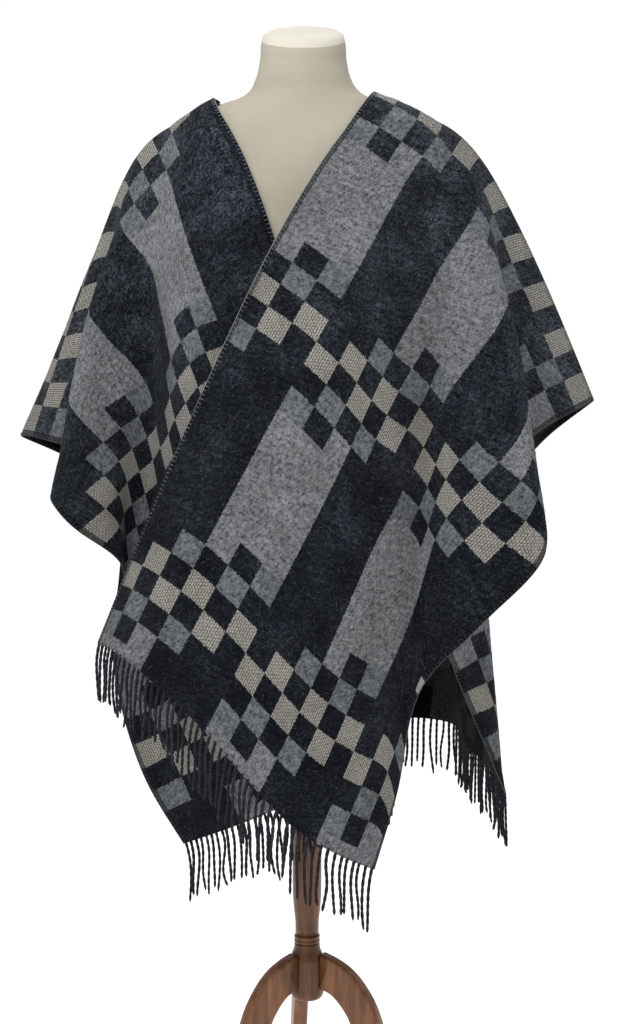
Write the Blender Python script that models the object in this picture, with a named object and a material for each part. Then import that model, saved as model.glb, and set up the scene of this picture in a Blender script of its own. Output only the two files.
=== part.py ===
"""Wool poncho worn on a limbless dress form with a wooden tripod stand.

The poncho is one woven rectangle, slit down the front and cut out at the neck.
Every panel is found from its flat cut and a short table of folds. A fold is a
straight line on the flat cloth that runs from the shoulder to the cloth's edge,
and the table says where its foot hangs and how far it bows. Metres, +Z up, with
the viewer on the -Y side. Left and right in names are the wearer's.
"""

from itertools import product
from math import cos, pi, radians, sin

import bmesh
import bpy
import numpy as np
from mathutils import Vector

# Flat cut of the cloth, counted in squares of the weave.
SQUARE = 0.035
NECK_HALF = 3.0
SELVEDGE = 18.3
HEM = 25.5
NECK_DROP = 1.3
WALL = 0.0020
SEAM = 0.00015
BOW_SKEW = 0.7
# Half width of the patch of cloth each point is averaged over, in squares.
SOFTNESS = 0.6
# Folds are softer near the shoulder: how many times more, and how far down.
TOP_SOFTNESS = 2.5
TOP_SOFT_REACH = 9.0
# Least gap between the cloth's inside and the form.
REST_GAP = 0.0032

# The whole model is moved by this much, to stand over the middle of its box.
CENTRE = (-0.0030, -0.0353, 0.0)

# Cells of the cloth's mesh.
FRONT_COLUMNS = 20
FRONT_ROWS = 26
NECK_COLUMNS = 6
BACK_ROWS = 24
CELL_SPREAD = 1.25
NORMAL_STEP = 0.12
# How far below the shoulder line the shared normal is read, in squares.
SHOULDER_STEP = 0.4
# Halvings that find the fold line through a point, and pushes that clear the form.
FOLD_HALVINGS = 26
PUSHES = 8
PROBE = 1e-3
# The cloth is pushed off the form only above this margin over the form's bottom.
PUSH_MARGIN = 0.02

# Fringe, a strip along the hem with strands that hang from it.
STRIP_DEPTH = 0.006
STRAND_LENGTH = 0.074
STRAND_WIDTH = 0.0036
STRAND_PITCH = 0.014
STRAND_LEAN = 0.35

# Where the cloth crosses the top of the shoulders and the back of the neck.
# Columns: squares across from the neck's middle, x, y, z.
SHOULDER_LINE = (
    (-8.20, -0.252, -0.006, 1.356),
    (-6.10, -0.219, -0.003, 1.421),
    (-4.60, -0.172, 0.012, 1.447),
    (-3.00, -0.119, 0.032, 1.462),
    (-1.60, -0.078, 0.078, 1.470),
    (0.00, -0.013, 0.096, 1.474),
    (1.60, 0.054, 0.078, 1.473),
    (3.00, 0.093, 0.032, 1.468),
    (5.00, 0.155, 0.012, 1.454),
    (6.85, 0.212, 0.000, 1.430),
    (8.40, 0.243, 0.000, 1.384),
)

# Columns of the fold tables: name, squares across at the top, squares across and
# down at the foot, then the foot's x, y and z, then the bow's x, y and z.
LEFT_FRONT_FOLDS = (
    ("front_edge", 3.00, 3.0, 25.5, -0.276, -0.075, 0.739, -0.005, -0.150, 0.035),
    ("hip_wrap", 3.35, 4.5, 25.5, -0.249, -0.115, 0.733, -0.005, -0.125, 0.025),
    ("hip_ridge", 3.90, 6.5, 25.5, -0.195, -0.168, 0.703, 0.000, -0.105, 0.015),
    ("sweep_1", 4.60, 9.0, 25.5, -0.124, -0.200, 0.643, 0.000, -0.100, 0.005),
    ("sweep_2", 5.30, 11.5, 25.5, -0.068, -0.215, 0.582, 0.000, -0.090, -0.002),
    ("sweep_3", 5.90, 14.0, 25.5, -0.012, -0.225, 0.528, -0.010, -0.080, -0.005),
    ("soft_valley", 6.40, 16.3, 25.5, 0.042, -0.215, 0.493, -0.018, -0.065, -0.008),
    ("corner", 6.80, 18.3, 25.5, 0.086, -0.185, 0.468, -0.010, -0.040, -0.012),
    ("side_1", 7.00, 18.3, 21.5, 0.116, -0.155, 0.562, 0.000, -0.040, -0.010),
    ("side_2", 7.20, 18.3, 17.5, 0.144, -0.150, 0.688, 0.008, -0.050, -0.010),
    ("side_3", 7.40, 18.3, 13.7, 0.218, -0.165, 0.771, 0.015, -0.040, -0.010),
    ("front_ridge", 7.60, 18.3, 10.0, 0.301, -0.185, 0.873, 0.012, -0.030, -0.005),
    ("ridge_back", 7.80, 18.3, 8.0, 0.296, -0.130, 0.928, 0.010, -0.020, 0.000),
    ("arm_valley", 8.00, 18.3, 6.0, 0.263, -0.085, 0.966, 0.000, -0.010, 0.000),
    ("arm_slope", 8.20, 18.3, 3.3, 0.306, -0.035, 1.015, 0.006, 0.000, -0.006),
    ("arm_ridge", 8.40, 18.3, 0.0, 0.397, 0.030, 1.064, 0.012, 0.000, -0.010),
)

RIGHT_FRONT_FOLDS = (
    ("front_edge", -3.00, -3.0, 25.5, 0.112, -0.060, 0.600, 0.020, -0.115, 0.025),
    ("under_ridge", -3.50, -5.5, 25.5, 0.100, -0.130, 0.585, -0.010, -0.080, 0.020),
    ("under_valley", -4.10, -8.5, 25.5, 0.035, -0.085, 0.570, -0.015, -0.100, 0.020),
    ("belly_ridge", -4.80, -12.3, 25.5, -0.008, -0.145, 0.548, -0.035, -0.085, 0.015),
    ("hip_slope", -5.30, -15.3, 25.5, -0.092, -0.090, 0.501, -0.015, -0.075, 0.005),
    ("corner", -5.80, -18.3, 25.5, -0.167, -0.030, 0.462, 0.010, -0.080, 0.000),
    ("side_1", -6.00, -18.3, 22.3, -0.220, -0.030, 0.553, 0.030, -0.060, 0.000),
    ("side_valley", -6.20, -18.3, 19.3, -0.252, -0.030, 0.654, 0.040, -0.040, -0.005),
    ("side_2", -6.40, -18.3, 16.0, -0.259, -0.050, 0.758, 0.025, -0.040, -0.010),
    ("side_ridge", -6.60, -18.3, 13.0, -0.241, -0.085, 0.846, -0.025, -0.050, -0.015),
    ("side_3", -6.74, -18.3, 11.0, -0.291, -0.130, 0.888, -0.025, -0.045, -0.012),
    ("front_ridge_1", -6.86, -18.3, 9.7, -0.310, -0.150, 0.911, -0.020, -0.032, -0.008),
    ("front_ridge_2", -7.14, -18.3, 7.7, -0.329, -0.116, 0.938, -0.012, -0.024, -0.006),
    ("ridge_back", -7.34, -18.3, 6.3, -0.294, -0.108, 0.950, 0.000, -0.020, 0.000),
    ("arm_valley_1", -7.55, -18.3, 5.1, -0.267, -0.096, 0.971, 0.000, -0.012, 0.000),
    ("arm_valley_2", -7.68, -18.3, 3.8, -0.270, -0.078, 0.985, 0.000, -0.008, 0.000),
    ("arm_slope", -7.90, -18.3, 2.0, -0.318, -0.077, 1.000, 0.000, 0.000, 0.000),
    ("arm_ridge", -8.20, -18.3, 0.0, -0.368, -0.030, 1.013, -0.008, 0.000, -0.015),
)

BACK_FOLDS = (
    ("left_arm_ridge", 8.40, 18.3, 0.0, 0.397, 0.030, 1.064, 0.012, 0.000, -0.010),
    ("left_arm_slope", 8.20, 18.3, 3.0, 0.338, 0.080, 1.014, 0.000, 0.010, 0.000),
    ("left_tuck_1", 8.00, 18.3, 6.5, 0.292, 0.034, 0.960, 0.010, 0.015, 0.000),
    ("left_tuck_2", 7.70, 18.3, 10.0, 0.278, -0.050, 0.900, 0.010, 0.010, 0.000),
    ("left_tuck_3", 7.40, 18.3, 14.3, 0.212, -0.092, 0.810, 0.015, 0.015, 0.000),
    ("left_wrap_1", 7.18, 18.3, 17.0, 0.178, -0.078, 0.757, 0.025, 0.025, 0.000),
    ("left_wrap_2", 6.96, 18.3, 19.5, 0.195, -0.042, 0.706, 0.025, 0.030, 0.000),
    ("corner", 6.60, 18.3, 25.5, 0.278, 0.030, 0.516, 0.000, 0.050, 0.000),
    ("left_flap", 6.20, 15.6, 25.5, 0.262, 0.112, 0.540, 0.000, 0.060, 0.000),
    ("flute_valley_1", 5.80, 13.0, 25.5, 0.240, 0.196, 0.556, 0.000, 0.060, 0.000),
    ("flute_ridge_1", 5.20, 10.4, 25.5, 0.226, 0.278, 0.575, 0.000, 0.050, 0.010),
    ("flute_turn_1", 4.50, 7.9, 25.5, 0.160, 0.290, 0.582, 0.000, 0.045, 0.015),
    ("flute_slope_1", 3.70, 5.2, 25.5, 0.118, 0.236, 0.578, 0.000, 0.050, 0.020),
    ("flute_valley_2", 2.20, 2.6, 25.5, 0.048, 0.206, 0.570, 0.000, 0.050, 0.020),
    ("flute_ridge_2", 0.30, 0.0, 25.5, 0.012, 0.272, 0.580, 0.000, 0.040, 0.020),
    ("flute_turn_2", -1.60, -2.4, 25.5, -0.056, 0.288, 0.582, 0.000, 0.040, 0.020),
    ("flute_valley_3", -3.20, -5.0, 25.5, -0.104, 0.222, 0.576, 0.000, 0.050, 0.020),
    ("flute_slope_3", -4.20, -7.6, 25.5, -0.158, 0.214, 0.574, 0.000, 0.060, 0.015),
    ("flute_ridge_3", -5.00, -10.3, 25.5, -0.212, 0.250, 0.580, 0.000, 0.060, 0.010),
    ("right_slope_1", -5.60, -13.0, 25.5, -0.232, 0.180, 0.586, 0.000, 0.070, 0.000),
    ("right_slope_2", -6.00, -15.6, 25.5, -0.206, 0.100, 0.588, 0.000, 0.060, 0.000),
    ("far_corner", -6.40, -18.3, 25.5, -0.178, 0.040, 0.560, -0.010, 0.050, 0.000),
    ("right_wrap", -6.80, -18.3, 19.5, -0.212, 0.036, 0.765, -0.020, 0.040, 0.000),
    ("right_side", -7.06, -18.3, 15.4, -0.238, 0.062, 0.872, -0.015, 0.035, 0.000),
    ("right_ridge_1", -7.26, -18.3, 12.2, -0.258, 0.128, 0.905, -0.006, 0.026, 0.000),
    ("right_ridge_2", -7.50, -18.3, 9.0, -0.306, 0.126, 0.926, -0.004, 0.026, 0.000),
    ("right_arm_valley_1", -7.66, -18.3, 7.2, -0.283, 0.074, 0.948, 0.000, 0.015, 0.000),
    ("right_arm_valley_2", -7.84, -18.3, 5.4, -0.296, 0.052, 0.964, 0.000, 0.012, 0.000),
    ("right_arm_slope", -8.00, -18.3, 3.0, -0.355, 0.070, 0.995, 0.000, 0.010, 0.000),
    ("right_arm_bulge", -8.10, -18.3, 1.3, -0.396, 0.006, 1.016, -0.004, 0.005, -0.008),
    ("right_arm_ridge", -8.20, -18.3, 0.0, -0.368, -0.030, 1.013, -0.008, 0.000, -0.015),
)

# Woven tab sewn on the left front's selvedge: squares down, and its size.
TAB_DOWN = 17.4
TAB_LENGTH = 0.022
TAB_WIDTH = 0.011
TAB_THICK = 0.0009
TAB_LIFT = 0.0004
TAB_CELLS = 4

# Sections of the form, top to bottom.
# Columns: name, height, half width, depth in front, depth behind, squareness, slant.
FORM_SECTIONS = (
    ("cap_top", 1.561, 0.034, 0.034, 0.034, 2.0, 0.40),
    ("cap_round", 1.560, 0.048, 0.048, 0.048, 2.0, 0.40),
    ("cap_rim", 1.556, 0.0545, 0.0545, 0.0545, 2.0, 0.40),
    ("cap_edge", 1.549, 0.0565, 0.0565, 0.0565, 2.0, 0.38),
    ("neck", 1.520, 0.0590, 0.0570, 0.0600, 2.0, 0.18),
    ("neck_base", 1.492, 0.0665, 0.0580, 0.0650, 2.0, 0.03),
    ("collar", 1.481, 0.0730, 0.0580, 0.0700, 1.85, 0.00),
    ("collar_foot", 1.472, 0.0850, 0.0580, 0.0760, 1.65, 0.00),
    ("trapezius", 1.466, 0.1010, 0.0590, 0.0800, 1.55, 0.00),
    ("slope_1", 1.461, 0.1200, 0.0600, 0.0830, 1.5, 0.00),
    ("slope_2", 1.448, 0.1520, 0.0620, 0.0860, 1.6, 0.00),
    ("slope_3", 1.432, 0.1780, 0.0650, 0.0880, 1.75, 0.00),
    ("shoulder", 1.410, 0.1950, 0.0700, 0.0900, 1.9, 0.00),
    ("arm_plate_top", 1.376, 0.1990, 0.0780, 0.0950, 2.1, 0.00),
    ("arm_plate", 1.330, 0.1890, 0.0860, 0.0990, 2.3, 0.00),
    ("chest", 1.260, 0.1710, 0.0940, 0.1020, 2.3, 0.00),
    ("rib", 1.170, 0.1500, 0.0900, 0.0950, 2.3, 0.00),
    ("waist", 1.080, 0.1320, 0.0850, 0.0870, 2.3, 0.00),
    ("high_hip", 0.980, 0.1520, 0.0960, 0.1050, 2.3, 0.00),
    ("hip", 0.895, 0.1690, 0.1040, 0.1180, 2.3, 0.00),
    ("seat", 0.855, 0.1660, 0.1020, 0.1160, 2.3, 0.00),
    ("bottom", 0.840, 0.1560, 0.0940, 0.1080, 2.3, 0.00),
)
FORM_AROUND = 32

# Turned stand. Columns of a profile: height, radius.
FORM_BOTTOM = 0.840
TURNED_GAP = 0.0003
POLE_PROFILE = ((0.0, 0.0165), (0.012, 0.0160), (0.040, 0.0190), (0.090, 0.0198), (0.50, 0.0178))
POLE_FOOT = 0.3312
POLE_TOP_RADIUS = 0.0178
RING_PROFILE = (
    (0.0, 0.0160), (0.0012, 0.0176), (0.0042, 0.0176), (0.0058, 0.0166),
    (0.0072, 0.0176), (0.0102, 0.0176), (0.0114, 0.0160),
)
RING_FOOT = 0.3195
HUB_PROFILE = (
    (0.0, 0.0120), (0.0022, 0.0185), (0.0070, 0.0225), (0.0130, 0.0232),
    (0.0560, 0.0232), (0.0640, 0.0205), (0.0715, 0.0180), (0.0772, 0.0172),
)
HUB_FOOT = 0.2420
TURNED_AROUND = 24

# Legs: bearings from above, and the middle line of one leg.
# Columns: distance from the axis, height, depth of the plank.
LEG_BEARINGS = (217.0, 337.0, 97.0)
LEG_THICK = 0.020
LEG_ROUND = 0.004
LEG_LINE = (
    (0.0236, 0.284, 0.046),
    (0.0500, 0.272, 0.044),
    (0.0760, 0.244, 0.042),
    (0.0950, 0.200, 0.040),
    (0.1100, 0.150, 0.036),
    (0.1320, 0.096, 0.031),
    (0.1650, 0.050, 0.026),
    (0.2000, 0.023, 0.022),
    (0.2300, 0.0105, 0.019),
    (0.2600, 0.0085, 0.015),
)
FOOT_SECTIONS = 2

MATERIALS = {
    # name: colour, roughness
    "charcoal_wool": ((0.045, 0.048, 0.055, 1.0), 0.95),
    "grey_wool": ((0.22, 0.225, 0.23, 1.0), 0.95),
    "dark_fringe": ((0.035, 0.038, 0.045, 1.0), 0.95),
    "woven_tab": ((0.55, 0.56, 0.56, 1.0), 0.80),
    "cream_cover": ((0.78, 0.74, 0.64, 1.0), 0.90),
    "brown_wood": ((0.17, 0.085, 0.040, 1.0), 0.45),
}


def smooth_rows(values, knots, rows):
    """A smooth curve through table rows, one row at each knot."""
    knots = np.asarray(knots, float)
    rows = np.asarray(rows, float)
    step = np.diff(knots)[:, None]
    slope = np.diff(rows, axis=0) / step
    tangent = np.empty_like(rows)
    tangent[1:-1] = (slope[:-1] * step[1:] + slope[1:] * step[:-1]) / (step[:-1] + step[1:])
    tangent[0] = slope[0]
    tangent[-1] = slope[-1]
    values = np.clip(np.asarray(values, float), knots[0], knots[-1])
    first = np.clip(np.searchsorted(knots, values, side="right") - 1, 0, len(knots) - 2)
    width = (knots[first + 1] - knots[first])[..., None]
    part = (values - knots[first])[..., None] / width
    square, cube = part**2, part**3
    return (
        (2 * cube - 3 * square + 1) * rows[first]
        + (cube - 2 * square + part) * width * tangent[first]
        + (3 * square - 2 * cube) * rows[first + 1]
        + (cube - square) * width * tangent[first + 1]
    )


def top_down(across):
    """Squares down from the shoulder line to the cut top edge, which dips at the neck."""
    inside = np.clip(np.abs(across) / NECK_HALF, 0.0, 1.0)
    return NECK_DROP * (1.0 - inside**2)


def off_form(point):
    """Points pushed outward until they clear the form by the wall and its gap."""
    table = np.array([row[1:] for row in FORM_SECTIONS[::-1]], float)
    heights, sections = table[:, 0], table[:, 1:5]

    def level(p):
        half, front, behind, square = np.moveaxis(smooth_rows(p[..., 2], heights, sections), -1, 0)
        depth = np.where(p[..., 1] > 0, behind, front)
        across = np.abs(p[..., 0] / half) ** square + np.abs(p[..., 1] / depth) ** square
        return (np.maximum(across, 1e-6) ** (1 / square) - 1) * (half + depth) / 2

    point = np.array(point, float)
    beside = point[..., 2] > heights[0] + PUSH_MARGIN
    steps = np.eye(3) * PROBE
    for _ in range(PUSHES):
        here = level(point)
        slope = np.stack([level(point + step) - level(point - step) for step in steps], -1) / (2 * PROBE)
        steep = np.linalg.norm(slope, axis=-1)
        short = np.maximum(WALL + REST_GAP - here / steep, 0.0) * beside
        point += slope / steep[..., None] * short[..., None]
    return point


class Panel:
    """A panel as the spread of its fold lines. turn is the way the folds run round it."""

    def __init__(self, folds, turn, dips_at_neck=False):
        table = np.array([row[1:] for row in folds], float)
        names = [row[0] for row in folds]
        self.turn = turn
        self.dips = dips_at_neck
        self.top = table[:, 0]
        self.edge = table[:, 1:3]
        self.foot = table[:, 3:6]
        self.bow = table[:, 6:9]
        steps = np.hypot(*np.diff(self.edge, axis=0).T)
        self.along = np.concatenate([[0.0], np.cumsum(steps)])
        corners = [i for i, name in enumerate(names) if name.endswith("corner")]
        self.stretches = list(zip([0] + corners, corners + [len(names) - 1]))

    def flat_line(self, t):
        """Top and foot of the fold line at t, on the flat cloth."""
        top = smooth_rows(t, self.along, self.top[:, None])[..., 0]
        foot = np.stack([np.interp(t, self.along, self.edge[:, k]) for k in (0, 1)], -1)
        down = top_down(top) if self.dips else np.zeros_like(top)
        return np.stack([top, down], -1), foot

    def fold_point(self, across, down):
        """World place of a point, from the fold line that runs through it."""
        low = np.zeros(across.shape)
        high = np.full(across.shape, self.along[-1])
        for _ in range(FOLD_HALVINGS):
            t = (low + high) / 2
            top, flat_foot = self.flat_line(t)
            run = flat_foot - top
            cross = (across - top[..., 0]) * run[..., 1] - (down - top[..., 1]) * run[..., 0]
            beyond = cross * self.turn > 0
            low = np.where(beyond, t, low)
            high = np.where(beyond, high, t)
        done = (across - top[..., 0]) * run[..., 0] + (down - top[..., 1]) * run[..., 1]
        s = np.clip(done / np.maximum((run**2).sum(-1), 1e-9), 0.0, 1.0)[..., None]
        foot = np.empty(t.shape + (3,))
        for first, last in self.stretches:
            here = (t >= self.along[first]) & (t <= self.along[last])
            part = slice(first, last + 1)
            foot[here] = smooth_rows(t[here], self.along[part], self.foot[part])
        bow = smooth_rows(t, self.along, self.bow)
        line = np.array(SHOULDER_LINE)
        world_top = smooth_rows(top[..., 0], line[:, 0], line[:, 1:])
        return world_top + (foot - world_top) * s + bow * np.sin(pi * s**BOW_SKEW)

    def point(self, across, down):
        """World place of a point of the flat cloth, softened and clear of the form."""
        across, down = np.broadcast_arrays(np.asarray(across, float), np.asarray(down, float))
        soft = SOFTNESS * (1 + TOP_SOFTNESS * np.exp(-((down / TOP_SOFT_REACH) ** 2)))
        room = SELVEDGE - np.abs(across)
        if not self.dips:
            room = np.minimum(room, np.abs(across) - NECK_HALF)
        sideways = np.clip(room, 0.0, soft)
        top = top_down(across) if self.dips else np.zeros_like(down)
        endways = np.clip(np.minimum(HEM - down, down - top), 0.0, SOFTNESS)
        total = 0.0
        for i, j in product((-1.0, -0.5, 0.0, 0.5, 1.0), (-1, 0, 1)):
            weight = (3 - 2 * abs(i)) / 9 * (2 - abs(j)) / 4
            total = total + weight * self.fold_point(across + i * sideways, down + j * endways)
        return off_form(total)

    def normal(self, across, down):
        """Outward normal, from the differences of points close by."""
        across, down = np.broadcast_arrays(np.asarray(across, float), np.asarray(down, float))
        low = top_down(across) if self.dips else np.zeros_like(down)
        side = np.sign(across.mean()) if not self.dips else 0.0
        limit_low = NECK_HALF * side if side > 0 else -SELVEDGE
        limit_high = NECK_HALF * side if side < 0 else SELVEDGE
        right = self.point(np.minimum(across + NORMAL_STEP, limit_high), down)
        left = self.point(np.maximum(across - NORMAL_STEP, limit_low), down)
        lower = self.point(across, np.minimum(down + NORMAL_STEP, HEM))
        upper = self.point(across, np.maximum(down - NORMAL_STEP, low))
        out = np.cross(right - left, lower - upper)
        out *= 1.0 if self.dips else -1.0
        return out / np.linalg.norm(out, axis=-1, keepdims=True)


LEFT_FRONT = Panel(LEFT_FRONT_FOLDS, 1.0)
RIGHT_FRONT = Panel(RIGHT_FRONT_FOLDS, -1.0)
BACK = Panel(BACK_FOLDS, -1.0, dips_at_neck=True)


def shoulder_normal(across):
    """The normal that a front and the back share along the shoulder line."""
    across = np.asarray(across, float)
    down = np.full(across.shape, SHOULDER_STEP)
    front = np.where(
        (across > 0)[..., None],
        LEFT_FRONT.normal(np.abs(across), down),
        RIGHT_FRONT.normal(-np.abs(across), down),
    )
    back = BACK.normal(across, down)
    out = front + back
    return out / np.linalg.norm(out, axis=-1, keepdims=True)


def cloth_grid(panel, columns, rows):
    """Outer and inner points of a panel's wall, indexed by column and row."""
    top = top_down(columns) if panel.dips else np.zeros(len(columns))
    part = np.linspace(0.0, 1.0, rows + 1) ** CELL_SPREAD
    down = top[:, None] + (HEM - top[:, None]) * part[None, :]
    across = np.repeat(columns[:, None], rows + 1, axis=1)
    at_seam = np.abs(columns) >= NECK_HALF - 1e-6
    normals = panel.normal(across, down)
    for _ in range(2):
        wide = np.pad(normals, ((1, 1), (1, 1), (0, 0)), mode="edge")
        normals = normals * 2 + wide[:-2, 1:-1] + wide[2:, 1:-1] + wide[1:-1, :-2] + wide[1:-1, 2:]
        normals /= np.linalg.norm(normals, axis=-1, keepdims=True)
    if at_seam.any():
        normals[at_seam, 0] = shoulder_normal(columns[at_seam])
    down[at_seam, 0] = SEAM / SQUARE
    outer = panel.point(across, down)
    return outer, outer - normals * WALL


def new_object(name, points, faces, material, smooth=True):
    mesh = bpy.data.meshes.new(name)
    points = [Vector(p) + Vector(CENTRE) for p in points]
    mesh.from_pydata(points, [], faces)
    work = bmesh.new()
    work.from_mesh(mesh)
    bmesh.ops.recalc_face_normals(work, faces=work.faces)
    bmesh.ops.triangulate(work, faces=[f for f in work.faces if len(f.verts) > 3])
    work.to_mesh(mesh)
    work.free()
    if smooth:
        mesh.shade_smooth()
        mesh.set_sharp_from_angle(angle=radians(40))
    made = bpy.data.objects.new(name, mesh)
    made.data.materials.append(bpy.data.materials[material])
    bpy.context.scene.collection.objects.link(made)
    return made


def wall(name, outer, inner, material):
    """A closed wall between two grids of points."""
    across, down = outer.shape[:2]
    points = np.concatenate([outer.reshape(-1, 3), inner.reshape(-1, 3)])
    offset = across * down

    def at(i, j, side=0):
        return side * offset + i * down + j

    faces = []
    for i in range(across - 1):
        for j in range(down - 1):
            faces.append((at(i, j), at(i + 1, j), at(i + 1, j + 1), at(i, j + 1)))
            faces.append((at(i, j, 1), at(i, j + 1, 1), at(i + 1, j + 1, 1), at(i + 1, j, 1)))
    rim = [(i, 0) for i in range(across)] + [(across - 1, j) for j in range(1, down)]
    rim += [(i, down - 1) for i in range(across - 2, -1, -1)] + [(0, j) for j in range(down - 2, 0, -1)]
    for a, b in zip(rim, rim[1:] + rim[:1]):
        faces.append((at(*a), at(*a, 1), at(*b, 1), at(*b)))
    return new_object(name, points, faces, material)


def between(rows, place):
    """A value between rows, at a fractional row number."""
    first = min(int(place), len(rows) - 2)
    return rows[first] + (rows[first + 1] - rows[first]) * (place - first)


def fringe(name, outer, inner):
    """A narrow strip under a hem with strands hanging from it, as one body."""
    hem_out, hem_in = outer[:, -1], inner[:, -1]
    fall = hem_out - outer[:, -2]
    fall /= np.linalg.norm(fall, axis=1, keepdims=True)
    steps = np.linalg.norm(np.diff(hem_out, axis=0), axis=1)
    length = np.concatenate([[0.0], np.cumsum(steps)])
    count = int((length[-1] - STRAND_PITCH / 2) // STRAND_PITCH)
    margin = (length[-1] - count * STRAND_PITCH) / 2 + STRAND_PITCH / 2
    places = [0.0]
    for k in range(count):
        middle = margin + k * STRAND_PITCH
        places += [middle - STRAND_WIDTH / 2, middle + STRAND_WIDTH / 2]
    places.append(length[-1])
    points, faces = [], []
    for place in places:
        at = float(np.interp(place, length, np.arange(len(length))))
        down = between(fall, at)
        out, back = between(hem_out, at), between(hem_in, at)
        for depth in (2 * SEAM, 2 * SEAM + STRIP_DEPTH):
            points += [out + down * depth, back + down * depth]
    for k in range(len(places) - 1):
        a, b = 4 * k, 4 * k + 4
        faces += [(a, b, b + 2, a + 2), (a + 1, a + 3, b + 3, b + 1), (a, a + 1, b + 1, b)]
        root = (a + 2, b + 2, b + 3, a + 3)
        if k % 2 == 0:
            faces.append(root)
            continue
        down = between(fall, float(np.interp(places[k], length, np.arange(len(length)))))
        hang = np.array([0.0, 0.0, -1.0]) + STRAND_LEAN * down
        hang *= STRAND_LENGTH / np.linalg.norm(hang)
        tip = len(points)
        points += [points[i] + hang for i in root]
        for n in range(4):
            m = (n + 1) % 4
            faces.append((root[n], root[m], tip + m, tip + n))
        faces.append((tip, tip + 1, tip + 2, tip + 3))
    last = 4 * (len(places) - 1)
    faces += [(0, 2, 3, 1), (last, last + 1, last + 3, last + 2)]
    return new_object(name, points, faces, "dark_fringe", smooth=False)


def woven_tab():
    """A blank tab that lies on the left front beside its selvedge."""
    width = TAB_WIDTH / SQUARE
    across = np.linspace(SELVEDGE - width, SELVEDGE, 3)[:, None] * np.ones(TAB_CELLS + 1)
    length = TAB_LENGTH / SQUARE
    down = TAB_DOWN + np.linspace(-length / 2, length / 2, TAB_CELLS + 1)[None, :] * np.ones((3, 1))
    base = LEFT_FRONT.point(across, down)
    out = LEFT_FRONT.normal(across, down)
    wall("woven_tab", base + out * (TAB_LIFT + TAB_THICK), base + out * TAB_LIFT, "woven_tab")


def ring_solid(name, rings, material, smooth=True):
    """A closed body through rings of points, with flat ends."""
    around = len(rings[0])
    points = [p for ring in rings for p in ring]
    faces = []
    for r in range(len(rings) - 1):
        for k in range(around):
            n = (k + 1) % around
            faces.append((r * around + k, r * around + n, (r + 1) * around + n, (r + 1) * around + k))
    last = (len(rings) - 1) * around
    faces.append(tuple(range(around - 1, -1, -1)))
    faces.append(tuple(range(last, last + around)))
    return new_object(name, points, faces, material, smooth)


def dress_form():
    rings = []
    for _name, height, half, front, behind, square, slant in FORM_SECTIONS:
        ring = []
        for k in range(FORM_AROUND):
            angle = 2 * pi * k / FORM_AROUND
            c, s = cos(angle), sin(angle)
            x = half * abs(c) ** (2 / square) * (1 if c > 0 else -1)
            depth = behind if s > 0 else front
            y = depth * abs(s) ** (2 / square) * (1 if s > 0 else -1)
            ring.append((x, y, height + slant * y))
        rings.append(ring)
    ring_solid("dress_form", rings, "cream_cover")


def turned(name, foot, profile):
    rings = []
    for height, radius in profile:
        angles = [2 * pi * k / TURNED_AROUND for k in range(TURNED_AROUND)]
        rings.append([(radius * cos(a), radius * sin(a), foot + height) for a in angles])
    ring_solid(name, rings, "brown_wood")


def leg(name, bearing):
    """A curved plank with rounded corners, flat under its foot."""
    line = np.array(LEG_LINE)
    out = np.array([cos(radians(bearing)), sin(radians(bearing)), 0.0])
    side = np.array([-out[1], out[0], 0.0])
    rings = []
    for k, (reach, height, depth) in enumerate(line):
        before, after = line[max(k - 1, 0)], line[min(k + 1, len(line) - 1)]
        run = np.array([after[0] - before[0], after[1] - before[1]])
        run /= np.linalg.norm(run)
        if k == 0:
            run = np.array([1.0, 0.0])
        middle = out * reach + np.array([0.0, 0.0, height])
        up = out * -run[1] + np.array([0.0, 0.0, run[0]])
        half, thick = depth / 2, LEG_THICK / 2
        r = LEG_ROUND
        corners = (
            (-thick + r, half), (thick - r, half), (thick, half - r), (thick, -half + r),
            (thick - r, -half), (-thick + r, -half), (-thick, -half + r), (-thick, half - r),
        )
        ring = [middle + side * a + up * b for a, b in corners]
        if k >= len(line) - FOOT_SECTIONS:
            for n in (4, 5):
                ring[n][2] = 0.0
            for n in (3, 6):
                ring[n][2] = r
        rings.append(ring)
    ring_solid(name, rings, "brown_wood", smooth=False)


def main():
    for old in list(bpy.data.objects):
        bpy.data.objects.remove(old)
    for name, (colour, roughness) in MATERIALS.items():
        material = bpy.data.materials.new(name)
        material.use_nodes = True
        shader = material.node_tree.nodes["Principled BSDF"]
        shader.inputs["Base Color"].default_value = colour
        shader.inputs["Roughness"].default_value = roughness
        shader.inputs["Metallic"].default_value = 0.0

    part = np.linspace(0.0, 1.0, FRONT_COLUMNS + 1) ** CELL_SPREAD
    front_columns = NECK_HALF + (SELVEDGE - NECK_HALF) * part
    neck_columns = np.linspace(-NECK_HALF, NECK_HALF, NECK_COLUMNS + 1)[1:-1]
    back_columns = np.concatenate([-front_columns[::-1], neck_columns, front_columns])
    panels = (
        ("front_left", LEFT_FRONT, front_columns, FRONT_ROWS, "grey_wool"),
        ("front_right", RIGHT_FRONT, -front_columns, FRONT_ROWS, "charcoal_wool"),
        ("back", BACK, back_columns, BACK_ROWS, "charcoal_wool"),
    )
    for name, panel, columns, rows, material in panels:
        outer, inner = cloth_grid(panel, columns, rows)
        wall(name, outer, inner, material)
        fringe("fringe_" + name, outer, inner)
    woven_tab()

    dress_form()
    pole_top = (FORM_BOTTOM - TURNED_GAP - POLE_FOOT, POLE_TOP_RADIUS)
    turned("stand_pole", POLE_FOOT, POLE_PROFILE + (pole_top,))
    turned("stand_ring", RING_FOOT, RING_PROFILE)
    turned("stand_hub", HUB_FOOT, HUB_PROFILE)
    for number, bearing in enumerate(LEG_BEARINGS, 1):
        leg(f"leg_{number}", bearing)


main()
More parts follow.
